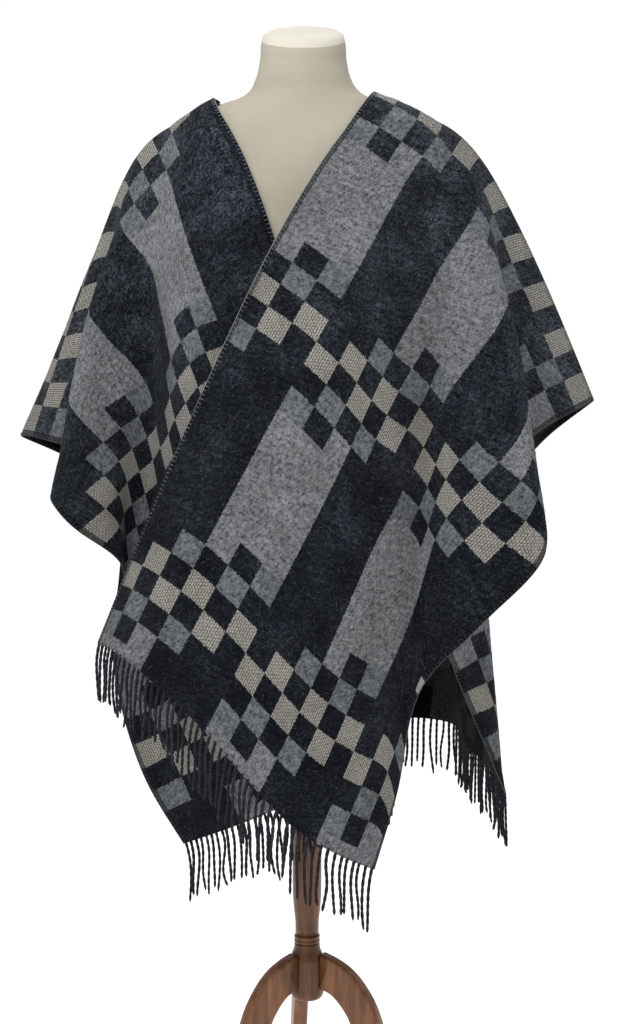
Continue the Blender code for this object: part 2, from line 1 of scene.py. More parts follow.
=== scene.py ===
"""Looks of the wool poncho on its dress form, in the row's frame.

The cloth is found from the same folds as the solids, on a finer grid, with its
creases, weave, stitched edges, fringe and nap. Metres, +Z up, the viewer on the -Y side.
"""

from itertools import product
from math import cos, pi, radians, sin

import bmesh
import bpy
import numpy as np
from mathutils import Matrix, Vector


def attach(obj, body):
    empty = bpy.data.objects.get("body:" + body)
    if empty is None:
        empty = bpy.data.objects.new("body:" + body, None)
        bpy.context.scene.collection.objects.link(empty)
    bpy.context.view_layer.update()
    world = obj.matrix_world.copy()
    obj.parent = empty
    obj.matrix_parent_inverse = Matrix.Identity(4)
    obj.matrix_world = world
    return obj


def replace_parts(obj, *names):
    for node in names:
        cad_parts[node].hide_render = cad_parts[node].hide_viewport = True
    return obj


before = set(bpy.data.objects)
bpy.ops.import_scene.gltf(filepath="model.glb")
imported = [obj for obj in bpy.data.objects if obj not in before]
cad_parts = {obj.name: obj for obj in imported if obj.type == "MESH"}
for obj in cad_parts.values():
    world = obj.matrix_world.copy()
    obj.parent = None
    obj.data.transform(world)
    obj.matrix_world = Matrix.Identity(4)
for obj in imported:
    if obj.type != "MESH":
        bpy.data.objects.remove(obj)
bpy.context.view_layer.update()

# Flat cut of the cloth, counted in squares of the weave.
SQUARE = 0.035
NECK_HALF = 3.0
SELVEDGE = 18.3
HEM = 25.5
NECK_DROP = 1.3
WALL = 0.0020
BOW_SKEW = 0.7
SOFTNESS = 0.6
TOP_SOFTNESS = 2.5
TOP_SOFT_REACH = 9.0
REST_GAP = 0.0032
CENTRE = np.array((-0.0030, -0.0353, 0.0))
CELLS_PER_SQUARE = 4

# Steps of the search for a fold line, and of the push that clears the form.
FOLD_HALVINGS = 24
PUSHES = 8
PROBE = 1e-3
PUSH_MARGIN = 0.02

# Creases: how far one wanders sideways, and how it fades in and out, in squares.
CREASE_WANDER = 0.35
CREASE_FADE_IN = 2.5
CREASE_FADE_OUT = 3.5
RIPPLE_HEIGHT = 0.0012
RIPPLE_FADE = 8

# Where the cloth crosses the top of the shoulders and the back of the neck.
# Columns: squares across from the neck's middle, x, y, z.
SHOULDER_LINE = (
    (-8.20, -0.252, -0.006, 1.356),
    (-6.10, -0.219, -0.003, 1.421),
    (-4.60, -0.172, 0.012, 1.447),
    (-3.00, -0.119, 0.032, 1.462),
    (-1.60, -0.078, 0.078, 1.470),
    (0.00, -0.013, 0.096, 1.474),
    (1.60, 0.054, 0.078, 1.473),
    (3.00, 0.093, 0.032, 1.468),
    (5.00, 0.155, 0.012, 1.454),
    (6.85, 0.212, 0.000, 1.430),
    (8.40, 0.243, 0.000, 1.384),
)

# Columns of the fold tables: squares across at the top, squares across and down at
# the foot, then the foot's x, y and z, then the bow's x, y and z. The rows whose
# foot is at a corner of the cloth split the foot's curve there.
LEFT_FRONT_FOLDS = (
    (3.00, 3.0, 25.5, -0.276, -0.075, 0.739, -0.005, -0.150, 0.035),
    (3.35, 4.5, 25.5, -0.249, -0.115, 0.733, -0.005, -0.125, 0.025),
    (3.90, 6.5, 25.5, -0.195, -0.168, 0.703, 0.000, -0.105, 0.015),
    (4.60, 9.0, 25.5, -0.124, -0.200, 0.643, 0.000, -0.100, 0.005),
    (5.30, 11.5, 25.5, -0.068, -0.215, 0.582, 0.000, -0.090, -0.002),
    (5.90, 14.0, 25.5, -0.012, -0.225, 0.528, -0.010, -0.080, -0.005),
    (6.40, 16.3, 25.5, 0.042, -0.215, 0.493, -0.018, -0.065, -0.008),
    (6.80, 18.3, 25.5, 0.086, -0.185, 0.468, -0.010, -0.040, -0.012),
    (7.00, 18.3, 21.5, 0.116, -0.155, 0.562, 0.000, -0.040, -0.010),
    (7.20, 18.3, 17.5, 0.144, -0.150, 0.688, 0.008, -0.050, -0.010),
    (7.40, 18.3, 13.7, 0.218, -0.165, 0.771, 0.015, -0.040, -0.010),
    (7.60, 18.3, 10.0, 0.301, -0.185, 0.873, 0.012, -0.030, -0.005),
    (7.80, 18.3, 8.0, 0.296, -0.130, 0.928, 0.010, -0.020, 0.000),
    (8.00, 18.3, 6.0, 0.263, -0.085, 0.966, 0.000, -0.010, 0.000),
    (8.20, 18.3, 3.3, 0.306, -0.035, 1.015, 0.006, 0.000, -0.006),
    (8.40, 18.3, 0.0, 0.397, 0.030, 1.064, 0.012, 0.000, -0.010),
)

RIGHT_FRONT_FOLDS = (
    (-3.00, -3.0, 25.5, 0.112, -0.060, 0.600, 0.020, -0.115, 0.025),
    (-3.50, -5.5, 25.5, 0.100, -0.130, 0.585, -0.010, -0.080, 0.020),
    (-4.10, -8.5, 25.5, 0.035, -0.085, 0.570, -0.015, -0.100, 0.020),
    (-4.80, -12.3, 25.5, -0.008, -0.145, 0.548, -0.035, -0.085, 0.015),
    (-5.30, -15.3, 25.5, -0.092, -0.090, 0.501, -0.015, -0.075, 0.005),
    (-5.80, -18.3, 25.5, -0.167, -0.030, 0.462, 0.010, -0.080, 0.000),
    (-6.00, -18.3, 22.3, -0.220, -0.030, 0.553, 0.030, -0.060, 0.000),
    (-6.20, -18.3, 19.3, -0.252, -0.030, 0.654, 0.040, -0.040, -0.005),
    (-6.40, -18.3, 16.0, -0.259, -0.050, 0.758, 0.025, -0.040, -0.010),
    (-6.60, -18.3, 13.0, -0.241, -0.085, 0.846, -0.025, -0.050, -0.015),
    (-6.74, -18.3, 11.0, -0.291, -0.130, 0.888, -0.025, -0.045, -0.012),
    (-6.86, -18.3, 9.7, -0.310, -0.150, 0.911, -0.020, -0.032, -0.008),
    (-7.14, -18.3, 7.7, -0.329, -0.116, 0.938, -0.012, -0.024, -0.006),
    (-7.34, -18.3, 6.3, -0.294, -0.108, 0.950, 0.000, -0.020, 0.000),
    (-7.55, -18.3, 5.1, -0.267, -0.096, 0.971, 0.000, -0.012, 0.000),
    (-7.68, -18.3, 3.8, -0.270, -0.078, 0.985, 0.000, -0.008, 0.000),
    (-7.90, -18.3, 2.0, -0.318, -0.077, 1.000, 0.000, 0.000, 0.000),
    (-8.20, -18.3, 0.0, -0.368, -0.030, 1.013, -0.008, 0.000, -0.015),
)

BACK_FOLDS = (
    (8.40, 18.3, 0.0, 0.397, 0.030, 1.064, 0.012, 0.000, -0.010),
    (8.20, 18.3, 3.0, 0.338, 0.080, 1.014, 0.000, 0.010, 0.000),
    (8.00, 18.3, 6.5, 0.292, 0.034, 0.960, 0.010, 0.015, 0.000),
    (7.70, 18.3, 10.0, 0.278, -0.050, 0.900, 0.010, 0.010, 0.000),
    (7.40, 18.3, 14.3, 0.212, -0.092, 0.810, 0.015, 0.015, 0.000),
    (7.18, 18.3, 17.0, 0.178, -0.078, 0.757, 0.025, 0.025, 0.000),
    (6.96, 18.3, 19.5, 0.195, -0.042, 0.706, 0.025, 0.030, 0.000),
    (6.60, 18.3, 25.5, 0.278, 0.030, 0.516, 0.000, 0.050, 0.000),
    (6.20, 15.6, 25.5, 0.262, 0.112, 0.540, 0.000, 0.060, 0.000),
    (5.80, 13.0, 25.5, 0.240, 0.196, 0.556, 0.000, 0.060, 0.000),
    (5.20, 10.4, 25.5, 0.226, 0.278, 0.575, 0.000, 0.050, 0.010),
    (4.50, 7.9, 25.5, 0.160, 0.290, 0.582, 0.000, 0.045, 0.015),
    (3.70, 5.2, 25.5, 0.118, 0.236, 0.578, 0.000, 0.050, 0.020),
    (2.20, 2.6, 25.5, 0.048, 0.206, 0.570, 0.000, 0.050, 0.020),
    (0.30, 0.0, 25.5, 0.012, 0.272, 0.580, 0.000, 0.040, 0.020),
    (-1.60, -2.4, 25.5, -0.056, 0.288, 0.582, 0.000, 0.040, 0.020),
    (-3.20, -5.0, 25.5, -0.104, 0.222, 0.576, 0.000, 0.050, 0.020),
    (-4.20, -7.6, 25.5, -0.158, 0.214, 0.574, 0.000, 0.060, 0.015),
    (-5.00, -10.3, 25.5, -0.212, 0.250, 0.580, 0.000, 0.060, 0.010),
    (-5.60, -13.0, 25.5, -0.232, 0.180, 0.586, 0.000, 0.070, 0.000),
    (-6.00, -15.6, 25.5, -0.206, 0.100, 0.588, 0.000, 0.060, 0.000),
    (-6.40, -18.3, 25.5, -0.178, 0.040, 0.560, -0.010, 0.050, 0.000),
    (-6.80, -18.3, 19.5, -0.212, 0.036, 0.765, -0.020, 0.040, 0.000),
    (-7.06, -18.3, 15.4, -0.238, 0.062, 0.872, -0.015, 0.035, 0.000),
    (-7.26, -18.3, 12.2, -0.258, 0.128, 0.905, -0.006, 0.026, 0.000),
    (-7.50, -18.3, 9.0, -0.306, 0.126, 0.926, -0.004, 0.026, 0.000),
    (-7.66, -18.3, 7.2, -0.283, 0.074, 0.948, 0.000, 0.015, 0.000),
    (-7.84, -18.3, 5.4, -0.296, 0.052, 0.964, 0.000, 0.012, 0.000),
    (-8.00, -18.3, 3.0, -0.355, 0.070, 0.995, 0.000, 0.010, 0.000),
    (-8.10, -18.3, 1.3, -0.396, 0.006, 1.016, -0.004, 0.005, -0.008),
    (-8.20, -18.3, 0.0, -0.368, -0.030, 1.013, -0.008, 0.000, -0.015),
)

# Soft creases in the cloth. Columns: panel, squares across and down at its start
# and at its end, half width in squares, height in metres (a trough is negative).
CREASES = (
    ("left", 5.0, 3.0, 9.5, 14.0, 0.9, -0.004),
    ("left", 7.6, 2.5, 13.5, 17.0, 0.8, 0.005),
    ("left", 8.6, 3.0, 14.6, 11.0, 0.6, -0.005),
    ("left", 9.4, 2.0, 16.0, 7.4, 0.5, 0.004),
    ("left", 6.0, 9.0, 9.5, 24.0, 1.1, 0.003),
    ("right", 5.4, 3.0, 9.5, 15.0, 0.9, -0.004),
    ("right", 7.6, 2.6, 13.5, 13.0, 0.7, 0.005),
    ("right", 9.0, 3.4, 15.0, 9.5, 0.6, -0.004),
    ("right", 6.4, 10.0, 10.5, 23.0, 1.0, 0.004),
    ("back", -6.0, 3.0, -10.0, 16.0, 0.9, 0.005),
    ("back", 6.2, 3.0, 9.5, 15.0, 0.9, 0.004),
    ("back", 1.6, 5.0, 2.4, 17.0, 1.1, -0.004),
    ("back", -2.4, 4.0, -4.2, 15.0, 1.0, -0.004),
    ("back", 9.0, 2.4, 14.5, 9.0, 0.6, -0.004),
    ("back", -9.0, 2.4, -14.5, 8.0, 0.6, -0.004),
)

# Sections of the form, top to bottom.
# Columns: height, half width, depth in front, depth behind, squareness, slant.
CAP_EDGE = 1.549
CAP_SLANT_MORE = 1.22
NECK_LEAN = -0.0048
NECK_LEAN_FROM = 1.440
NECK_LEAN_OVER = 0.060
FORM_SECTIONS = (
    (1.561, 0.034, 0.034, 0.034, 2.0, 0.40),
    (1.560, 0.048, 0.048, 0.048, 2.0, 0.40),
    (1.556, 0.0545, 0.0545, 0.0545, 2.0, 0.40),
    (1.549, 0.0565, 0.0565, 0.0565, 2.0, 0.38),
    (1.520, 0.0590, 0.0570, 0.0600, 2.0, 0.18),
    (1.492, 0.0665, 0.0580, 0.0650, 2.0, 0.03),
    (1.481, 0.0730, 0.0580, 0.0700, 1.85, 0.00),
    (1.472, 0.0850, 0.0580, 0.0760, 1.65, 0.00),
    (1.466, 0.1010, 0.0590, 0.0800, 1.55, 0.00),
    (1.461, 0.1200, 0.0600, 0.0830, 1.5, 0.00),
    (1.448, 0.1520, 0.0620, 0.0860, 1.6, 0.00),
    (1.432, 0.1780, 0.0650, 0.0880, 1.75, 0.00),
    (1.410, 0.1950, 0.0700, 0.0900, 1.9, 0.00),
    (1.376, 0.1990, 0.0780, 0.0950, 2.1, 0.00),
    (1.330, 0.1890, 0.0860, 0.0990, 2.3, 0.00),
    (1.260, 0.1710, 0.0940, 0.1020, 2.3, 0.00),
    (1.170, 0.1500, 0.0900, 0.0950, 2.3, 0.00),
    (1.080, 0.1320, 0.0850, 0.0870, 2.3, 0.00),
    (0.980, 0.1520, 0.0960, 0.1050, 2.3, 0.00),
    (0.895, 0.1690, 0.1040, 0.1180, 2.3, 0.00),
    (0.855, 0.1660, 0.1020, 0.1160, 2.3, 0.00),
    (0.840, 0.1560, 0.0940, 0.1080, 2.3, 0.00),
)

FORM_STEP = 0.006
FORM_AROUND = 96

# Turned stand. Columns of a profile: height, radius.
TURNED_AROUND = 64
TURNED_STEPS = 5
POLE_PROFILE = (
    (0.3312, 0.0160), (0.3330, 0.0164), (0.3420, 0.0160), (0.3520, 0.0163), (0.3650, 0.0180),
    (0.3800, 0.0192), (0.4100, 0.0198), (0.4600, 0.0196), (0.5600, 0.0188), (0.7500, 0.0180),
    (0.8397, 0.0178),
)
RING_PROFILE = (
    (0.3196, 0.0160), (0.3204, 0.0172), (0.3220, 0.0176), (0.3236, 0.0175), (0.3252, 0.0167),
    (0.3268, 0.0175), (0.3284, 0.0176), (0.3300, 0.0172), (0.3308, 0.0160),
)
HUB_PROFILE = (
    (0.2420, 0.0100), (0.2426, 0.0150), (0.2442, 0.0188), (0.2475, 0.0214), (0.2520, 0.0228),
    (0.2600, 0.0232), (0.2900, 0.0232), (0.2980, 0.0230), (0.3040, 0.0214), (0.3090, 0.0192),
    (0.3140, 0.0178), (0.3192, 0.0171),
)
LEG_BEARINGS = (217.0, 337.0, 97.0)
LEG_THICK = 0.020
LEG_ROUND = 0.0042
LEG_STEPS = 60

# Columns: reach from the middle, height and depth of the leg there.
LEG_LINE = (
    (0.0236, 0.284, 0.046),
    (0.0500, 0.272, 0.044),
    (0.0760, 0.244, 0.042),
    (0.0950, 0.200, 0.040),
    (0.1100, 0.150, 0.036),
    (0.1320, 0.096, 0.031),
    (0.1650, 0.050, 0.026),
    (0.2000, 0.023, 0.022),
    (0.2300, 0.0105, 0.019),
    (0.2600, 0.0085, 0.015),
)

# Fringe of twisted yarn, and the stitches over the cloth's edges.
STRAND_PITCH = 0.0100
STRAND_LENGTH = 0.080
PLY_RADIUS = 0.00175
PLY_OFFSET = 0.00058
STRAND_TURNS = 4
STRAND_STEPS = 34
PLY_SIDES = 5
STRAND_SWAY = 0.06
STRAND_CURL = 0.0020
STRAND_ROOT = 0.002
STITCH_PITCH = 0.0058
STITCH_DEPTH = 0.0045
STITCH_RADIUS = 0.00024
STITCH_SIDES = 4
BEAD_RADIUS = 0.00042
BEAD_SIDES = 6
BEAD_OUT = 0.0004

# Brushed nap: fine fibres that lie on the cloth's outside and stand a little at their ends.
NAP_COUNT = 17000
NAP_LENGTH = 0.0085
NAP_RADIUS = 0.00014
NAP_LIFT = 0.30

# Tab on the left front's selvedge.
TAB_DOWN = 17.4
TAB_LENGTH = 0.022
TAB_WIDTH = 0.011
TAB_THICK = 0.0009
TAB_LIFT = 0.0004
TAB_ROWS = 7
TAB_COLUMNS = 9


def smooth_rows(values, knots, rows):
    """A smooth curve through table rows, one row at each knot."""
    knots = np.asarray(knots, float)
    rows = np.asarray(rows, float)
    step = np.diff(knots)[:, None]
    slope = np.diff(rows, axis=0) / step
    tangent = np.empty_like(rows)
    tangent[1:-1] = (slope[:-1] * step[1:] + slope[1:] * step[:-1]) / (step[:-1] + step[1:])
    tangent[0] = slope[0]
    tangent[-1] = slope[-1]
    values = np.clip(np.asarray(values, float), knots[0], knots[-1])
    first = np.clip(np.searchsorted(knots, values, side="right") - 1, 0, len(knots) - 2)
    width = (knots[first + 1] - knots[first])[..., None]
    part = (values - knots[first])[..., None] / width
    square, cube = part**2, part**3
    return (
        (2 * cube - 3 * square + 1) * rows[first]
        + (cube - 2 * square + part) * width * tangent[first]
        + (3 * square - 2 * cube) * rows[first + 1]
        + (cube - square) * width * tangent[first + 1]
    )


def top_down(across):
    """Squares down from the shoulder line to the cut top edge, which dips at the neck."""
    inside = np.clip(np.abs(across) / NECK_HALF, 0.0, 1.0)
    return NECK_DROP * (1.0 - inside**2)


def form_level(p):
    """Rough distance of points outside the form, before it is divided by its slope."""
    table = np.array(FORM_SECTIONS[::-1], float)
    sections = smooth_rows(p[..., 2], table[:, 0], table[:, 1:5])
    half, front, behind, square = np.moveaxis(sections, -1, 0)
    depth = np.where(p[..., 1] > 0, behind, front)
    across = np.abs(p[..., 0] / half) ** square + np.abs(p[..., 1] / depth) ** square
    return (np.maximum(across, 1e-6) ** (1 / square) - 1) * (half + depth) / 2


def off_form(point, gap=WALL + REST_GAP):
    """Points pushed outward until they clear the form by the gap."""
    point = np.array(point, float)
    above = point[..., 2] > FORM_SECTIONS[-1][0] + PUSH_MARGIN
    for _ in range(PUSHES):
        here = form_level(point)
        steps = np.eye(3) * PROBE
        rise = [form_level(point + s) - form_level(point - s) for s in steps]
        slope = np.stack(rise, -1) / (2 * PROBE)
        steep = np.linalg.norm(slope, axis=-1)
        short = np.maximum(gap - here / steep, 0.0) * above
        point += slope / steep[..., None] * short[..., None]
    return point


class Panel:
    """A panel as the spread of its fold lines. turn is the way the folds run round it."""

    def __init__(self, folds, turn, dips_at_neck=False):
        table = np.array(folds, float)
        self.turn = turn
        self.dips = dips_at_neck
        self.top = table[:, 0]
        self.edge = table[:, 1:3]
        self.foot = table[:, 3:6]
        self.bow = table[:, 6:9]
        steps = np.hypot(*np.diff(self.edge, axis=0).T)
        self.along = np.concatenate([[0.0], np.cumsum(steps)])
        at_corner = (np.abs(self.edge[:, 0]) == SELVEDGE) & (self.edge[:, 1] == HEM)
        corners = list(np.flatnonzero(at_corner))
        self.stretches = list(zip([0] + corners, corners + [len(table) - 1]))

    def flat_line(self, t):
        """Top and foot of the fold line at t, on the flat cloth."""
        top = smooth_rows(t, self.along, self.top[:, None])[..., 0]
        foot = np.stack([np.interp(t, self.along, self.edge[:, k]) for k in (0, 1)], -1)
        down = top_down(top) if self.dips else np.zeros_like(top)
        return np.stack([top, down], -1), foot

    def fold_point(self, across, down):
        """World place of a point, from the fold line that runs through it."""
        low = np.zeros(across.shape)
        high = np.full(across.shape, self.along[-1])
        for _ in range(FOLD_HALVINGS):
            t = (low + high) / 2
            top, flat_foot = self.flat_line(t)
            run = flat_foot - top
            cross = (across - top[..., 0]) * run[..., 1] - (down - top[..., 1]) * run[..., 0]
            beyond = cross * self.turn > 0
            low = np.where(beyond, t, low)
            high = np.where(beyond, high, t)
        done = (across - top[..., 0]) * run[..., 0] + (down - top[..., 1]) * run[..., 1]
        s = np.clip(done / np.maximum((run**2).sum(-1), 1e-9), 0.0, 1.0)[..., None]
        foot = np.empty(t.shape + (3,))
        for first, last in self.stretches:
            here = (t >= self.along[first]) & (t <= self.along[last])
            part = slice(first, last + 1)
            foot[here] = smooth_rows(t[here], self.along[part], self.foot[part])
        bow = smooth_rows(t, self.along, self.bow)
        line = np.array(SHOULDER_LINE)
        world_top = smooth_rows(top[..., 0], line[:, 0], line[:, 1:])
        return world_top + (foot - world_top) * s + bow * np.sin(pi * s**BOW_SKEW)

    def point(self, across, down):
        """World place of a point of the flat cloth, softened and clear of the form."""
        across, down = np.broadcast_arrays(np.asarray(across, float), np.asarray(down, float))
        soft = SOFTNESS * (1 + TOP_SOFTNESS * np.exp(-((down / TOP_SOFT_REACH) ** 2)))
        room = SELVEDGE - np.abs(across)
        if not self.dips:
            room = np.minimum(room, np.abs(across) - NECK_HALF)
        sideways = np.clip(room, 0.0, soft)
        top = top_down(across) if self.dips else np.zeros_like(down)
        endways = np.clip(np.minimum(HEM - down, down - top), 0.0, SOFTNESS)
        total = 0.0
        for i, j in product((-1.0, -0.5, 0.0, 0.5, 1.0), (-1, 0, 1)):
            weight = (3 - 2 * abs(i)) / 9 * (2 - abs(j)) / 4
            total = total + weight * self.fold_point(across + i * sideways, down + j * endways)
        return off_form(total)


PANELS = {
    "left": Panel(LEFT_FRONT_FOLDS, 1.0),
    "right": Panel(RIGHT_FRONT_FOLDS, -1.0),
    "back": Panel(BACK_FOLDS, -1.0, dips_at_neck=True),
}


def crease_height(panel, across, down):
    """Height of the soft creases over a panel."""
    height = np.zeros(across.shape)
    for name, a0, d0, a1, d1, width, depth in CREASES:
        if name != panel:
            continue
        run = np.array([a1 - a0, d1 - d0])
        length = np.linalg.norm(run)
        run /= length
        here = across if panel == "back" else np.abs(across)
        along = (here - a0) * run[0] + (down - d0) * run[1]
        off = (here - a0) * run[1] - (down - d0) * run[0]
        wander = CREASE_WANDER * np.sin(along * 0.9 + a0)
        fade_out = np.clip((length - along) / CREASE_FADE_OUT, 0, 1)
        fade = np.clip(along / CREASE_FADE_IN, 0, 1) * fade_out
        height += depth * fade * fade * (3 - 2 * fade) * np.exp(-(((off - wander) / width) ** 2))
    ripple = np.sin(across * 0.61 + 0.4 * np.sin(down * 0.5)) * np.sin(down * 0.37 + across * 0.2)
    return height + RIPPLE_HEIGHT * ripple * np.clip(down / RIPPLE_FADE, 0, 1)


# Pieces of the object, made of mesh and given to the root body.


def add_mesh(name, points, faces, slot, *materials, smooth=True, shift=True):
    mesh = bpy.data.meshes.new(name)
    points = np.asarray(points, float) + (CENTRE if shift else 0.0)
    mesh.from_pydata([tuple(p) for p in points], [], [tuple(int(i) for i in f) for f in faces])
    if smooth:
        mesh.shade_smooth()
    made = bpy.data.objects.new(name, mesh)
    bpy.context.scene.collection.objects.link(made)
    for material in materials:
        mesh.materials.append(material)
    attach(made, "root")
    return made


def face_out(mesh):
    work = bmesh.new()
    work.from_mesh(mesh)
    bmesh.ops.recalc_face_normals(work, faces=work.faces)
    work.to_mesh(mesh)
    work.free()


def lay_out(made, name, flat):
    """A UV layer from one pair of values for each point."""
    layer = made.data.uv_layers.new(name=name)
    corner = np.empty(len(made.data.loops), int)
    made.data.loops.foreach_get("vertex_index", corner)
    layer.data.foreach_set("uv", np.asarray(flat, np.float32)[corner].ravel())


def ring_faces(rings, around, start=0):
    """Faces of a skin over rings of points, with both ends filled."""
    faces = []
    for r in range(rings - 1):
        a, b = start + r * around, start + (r + 1) * around
        for k in range(around):
            n = (k + 1) % around
            faces.append((a + k, a + n, b + n, b + k))
    last = start + (rings - 1) * around
    faces.append(tuple(range(start + around - 1, start - 1, -1)))
    faces.append(tuple(range(last, last + around)))
    return faces


def tubes(paths, radius, sides):
    """Points and faces of closed tubes along paths. radius is one number, or one for each point."""
    points, faces = [], []
    for path in paths:
        path = np.asarray(path, float)
        radii = np.broadcast_to(radius, (len(path),))
        along = np.gradient(path, axis=0)
        along /= np.linalg.norm(along, axis=1, keepdims=True)
        side = np.cross(along[0], (0.0, 0.0, 1.0) if abs(along[0][2]) < 0.9 else (1.0, 0.0, 0.0))
        start = len(points)
        for k, (middle, run) in enumerate(zip(path, along)):
            side = side - run * side.dot(run)
            side /= np.linalg.norm(side)
            other = np.cross(run, side)
            for n in range(sides):
                a = 2 * pi * n / sides
                points.append(middle + radii[k] * (side * cos(a) + other * sin(a)))
        faces += ring_faces(len(path), sides, start)
    return points, faces


# Shader graphs.

# Sockets of a Mix node that are in use when it mixes colours: factor, A and B, and the result.
MIX_INPUTS = (0, 6, 7)
MIX_OUTPUT = 2


class Wire:
    """A shader value that makes Math nodes from plain arithmetic."""

    def __init__(self, tree, socket):
        self.tree = tree
        self.socket = socket

    def node(self, operation, *values):
        made = self.tree.nodes.new("ShaderNodeMath")
        made.operation = operation
        for slot, value in zip(made.inputs, (self,) + values):
            if isinstance(value, Wire):
                self.tree.links.new(value.socket, slot)
            else:
                slot.default_value = value
        return Wire(self.tree, made.outputs[0])

    def __add__(self, other):
        return self.node("ADD", other)

    def __sub__(self, other):
        return self.node("SUBTRACT", other)

    def __mul__(self, other):
        return self.node("MULTIPLY", other)

    def __gt__(self, other):
        return self.node("GREATER_THAN", other)

    def __lt__(self, other):
        return self.node("LESS_THAN", other)

    def mod(self, other):
        return self.node("FLOORED_MODULO", other)

    def floor(self):
        return self.node("FLOOR")

    def abs(self):
        return self.node("ABSOLUTE")

    def wave(self):
        return self.node("SINE")

    def ramp(self, low, high):
        made = self.tree.nodes.new("ShaderNodeMapRange")
        self.tree.links.new(self.socket, made.inputs["Value"])
        made.inputs["From Min"].default_value = low
        made.inputs["From Max"].default_value = high
        return Wire(self.tree, made.outputs["Result"])


class Shader:
    """A material under way: its tree, its Principled shader and helpers for its nodes."""

    def __init__(self, name, roughness, **constants):
        self.material = bpy.data.materials.new(name)
        self.material.use_nodes = True
        self.tree = self.material.node_tree
        self.surface = self.tree.nodes["Principled BSDF"]
        self.surface.inputs["Roughness"].default_value = roughness
        for label, value in constants.items():
            self.surface.inputs[label.replace("_", " ")].default_value = value

    def link(self, a, b):
        self.tree.links.new(a.socket if isinstance(a, Wire) else a, b)

    def coordinates(self, kind):
        """The three coordinates of UV or Object space, as wires."""
        source = self.tree.nodes.new("ShaderNodeTexCoord").outputs[kind]
        split = self.tree.nodes.new("ShaderNodeSeparateXYZ")
        self.tree.links.new(source, split.inputs[0])
        return [Wire(self.tree, s) for s in split.outputs]

    def noise(self, x, y, z=0.0, detail=2.0, rough=0.5):
        join = self.tree.nodes.new("ShaderNodeCombineXYZ")
        for slot, value in zip(join.inputs, (x, y, z)):
            if isinstance(value, Wire):
                self.tree.links.new(value.socket, slot)
            else:
                slot.default_value = value
        made = self.tree.nodes.new("ShaderNodeTexNoise")
        made.inputs["Scale"].default_value = 1.0
        made.inputs["Detail"].default_value = detail
        made.inputs["Roughness"].default_value = rough
        self.tree.links.new(join.outputs[0], made.inputs["Vector"])
        return Wire(self.tree, made.outputs["Fac"])

    def mix(self, amount, a, b):
        made = self.tree.nodes.new("ShaderNodeMix")
        made.data_type = "RGBA"
        for socket, value in zip(MIX_INPUTS, (amount, a, b)):
            slot = made.inputs[socket]
            if isinstance(value, Wire):
                self.tree.links.new(value.socket, slot)
            elif isinstance(value, (int, float)):
                slot.default_value = value
            else:
                slot.default_value = tuple(value) + (1.0,)
        return Wire(self.tree, made.outputs[MIX_OUTPUT])

    def finish(self, colour, height, distance, strength=1.0):
        self.link(colour, self.surface.inputs["Base Color"])
        bump = self.tree.nodes.new("ShaderNodeBump")
        bump.inputs["Strength"].default_value = strength
        bump.inputs["Distance"].default_value = distance
        self.link(height, bump.inputs["Height"])
        self.tree.links.new(bump.outputs[0], self.surface.inputs["Normal"])
        return self.material


# Colours of the wool: each is mixed from a deep and a pale fibre.
CHARCOAL = ((0.0030, 0.0042, 0.0068), (0.066, 0.077, 0.092))
MID_GREY = ((0.030, 0.034, 0.039), (0.215, 0.232, 0.242))
LIGHT_GREY = ((0.036, 0.039, 0.043), (0.272, 0.280, 0.288))
CREAM = ((0.022, 0.022, 0.023), (0.395, 0.380, 0.335))
COVER_DEEP = (0.345, 0.315, 0.245)
COVER_PALE = (0.430, 0.400, 0.325)
# The neck cap's jersey is the cover's cream made paler. It is partly a separate cap cover with its seam
# at the cap's edge, and partly a painted highlight where the top faces the light.
CAP_LIT_DEEP = (0.520, 0.495, 0.415)
CAP_LIT_PALE = (0.620, 0.595, 0.510)

# Chart of the weave, in squares. FUZZ is how far the nap blurs the edge of a square.
BAND_PITCH = 11.0
STRIPE = 3.0
REPEAT = 2 * STRIPE
FUZZ = 0.20
FIRST_COLUMN = 3.01
LAST_COLUMN = 17.99
# Width, in squares, of the painted shade along the cloth's edges.
EDGE_SHADE_WIDTH = 0.20
DASHES_ACROSS = 11.0
DASHES_DOWN = 7.0
# The inside face is scaled down to 0.14 of its colour: painted shade, as if the inside always lay in
# shadow.
REVERSE_PAINTED_SHADE = 0.14


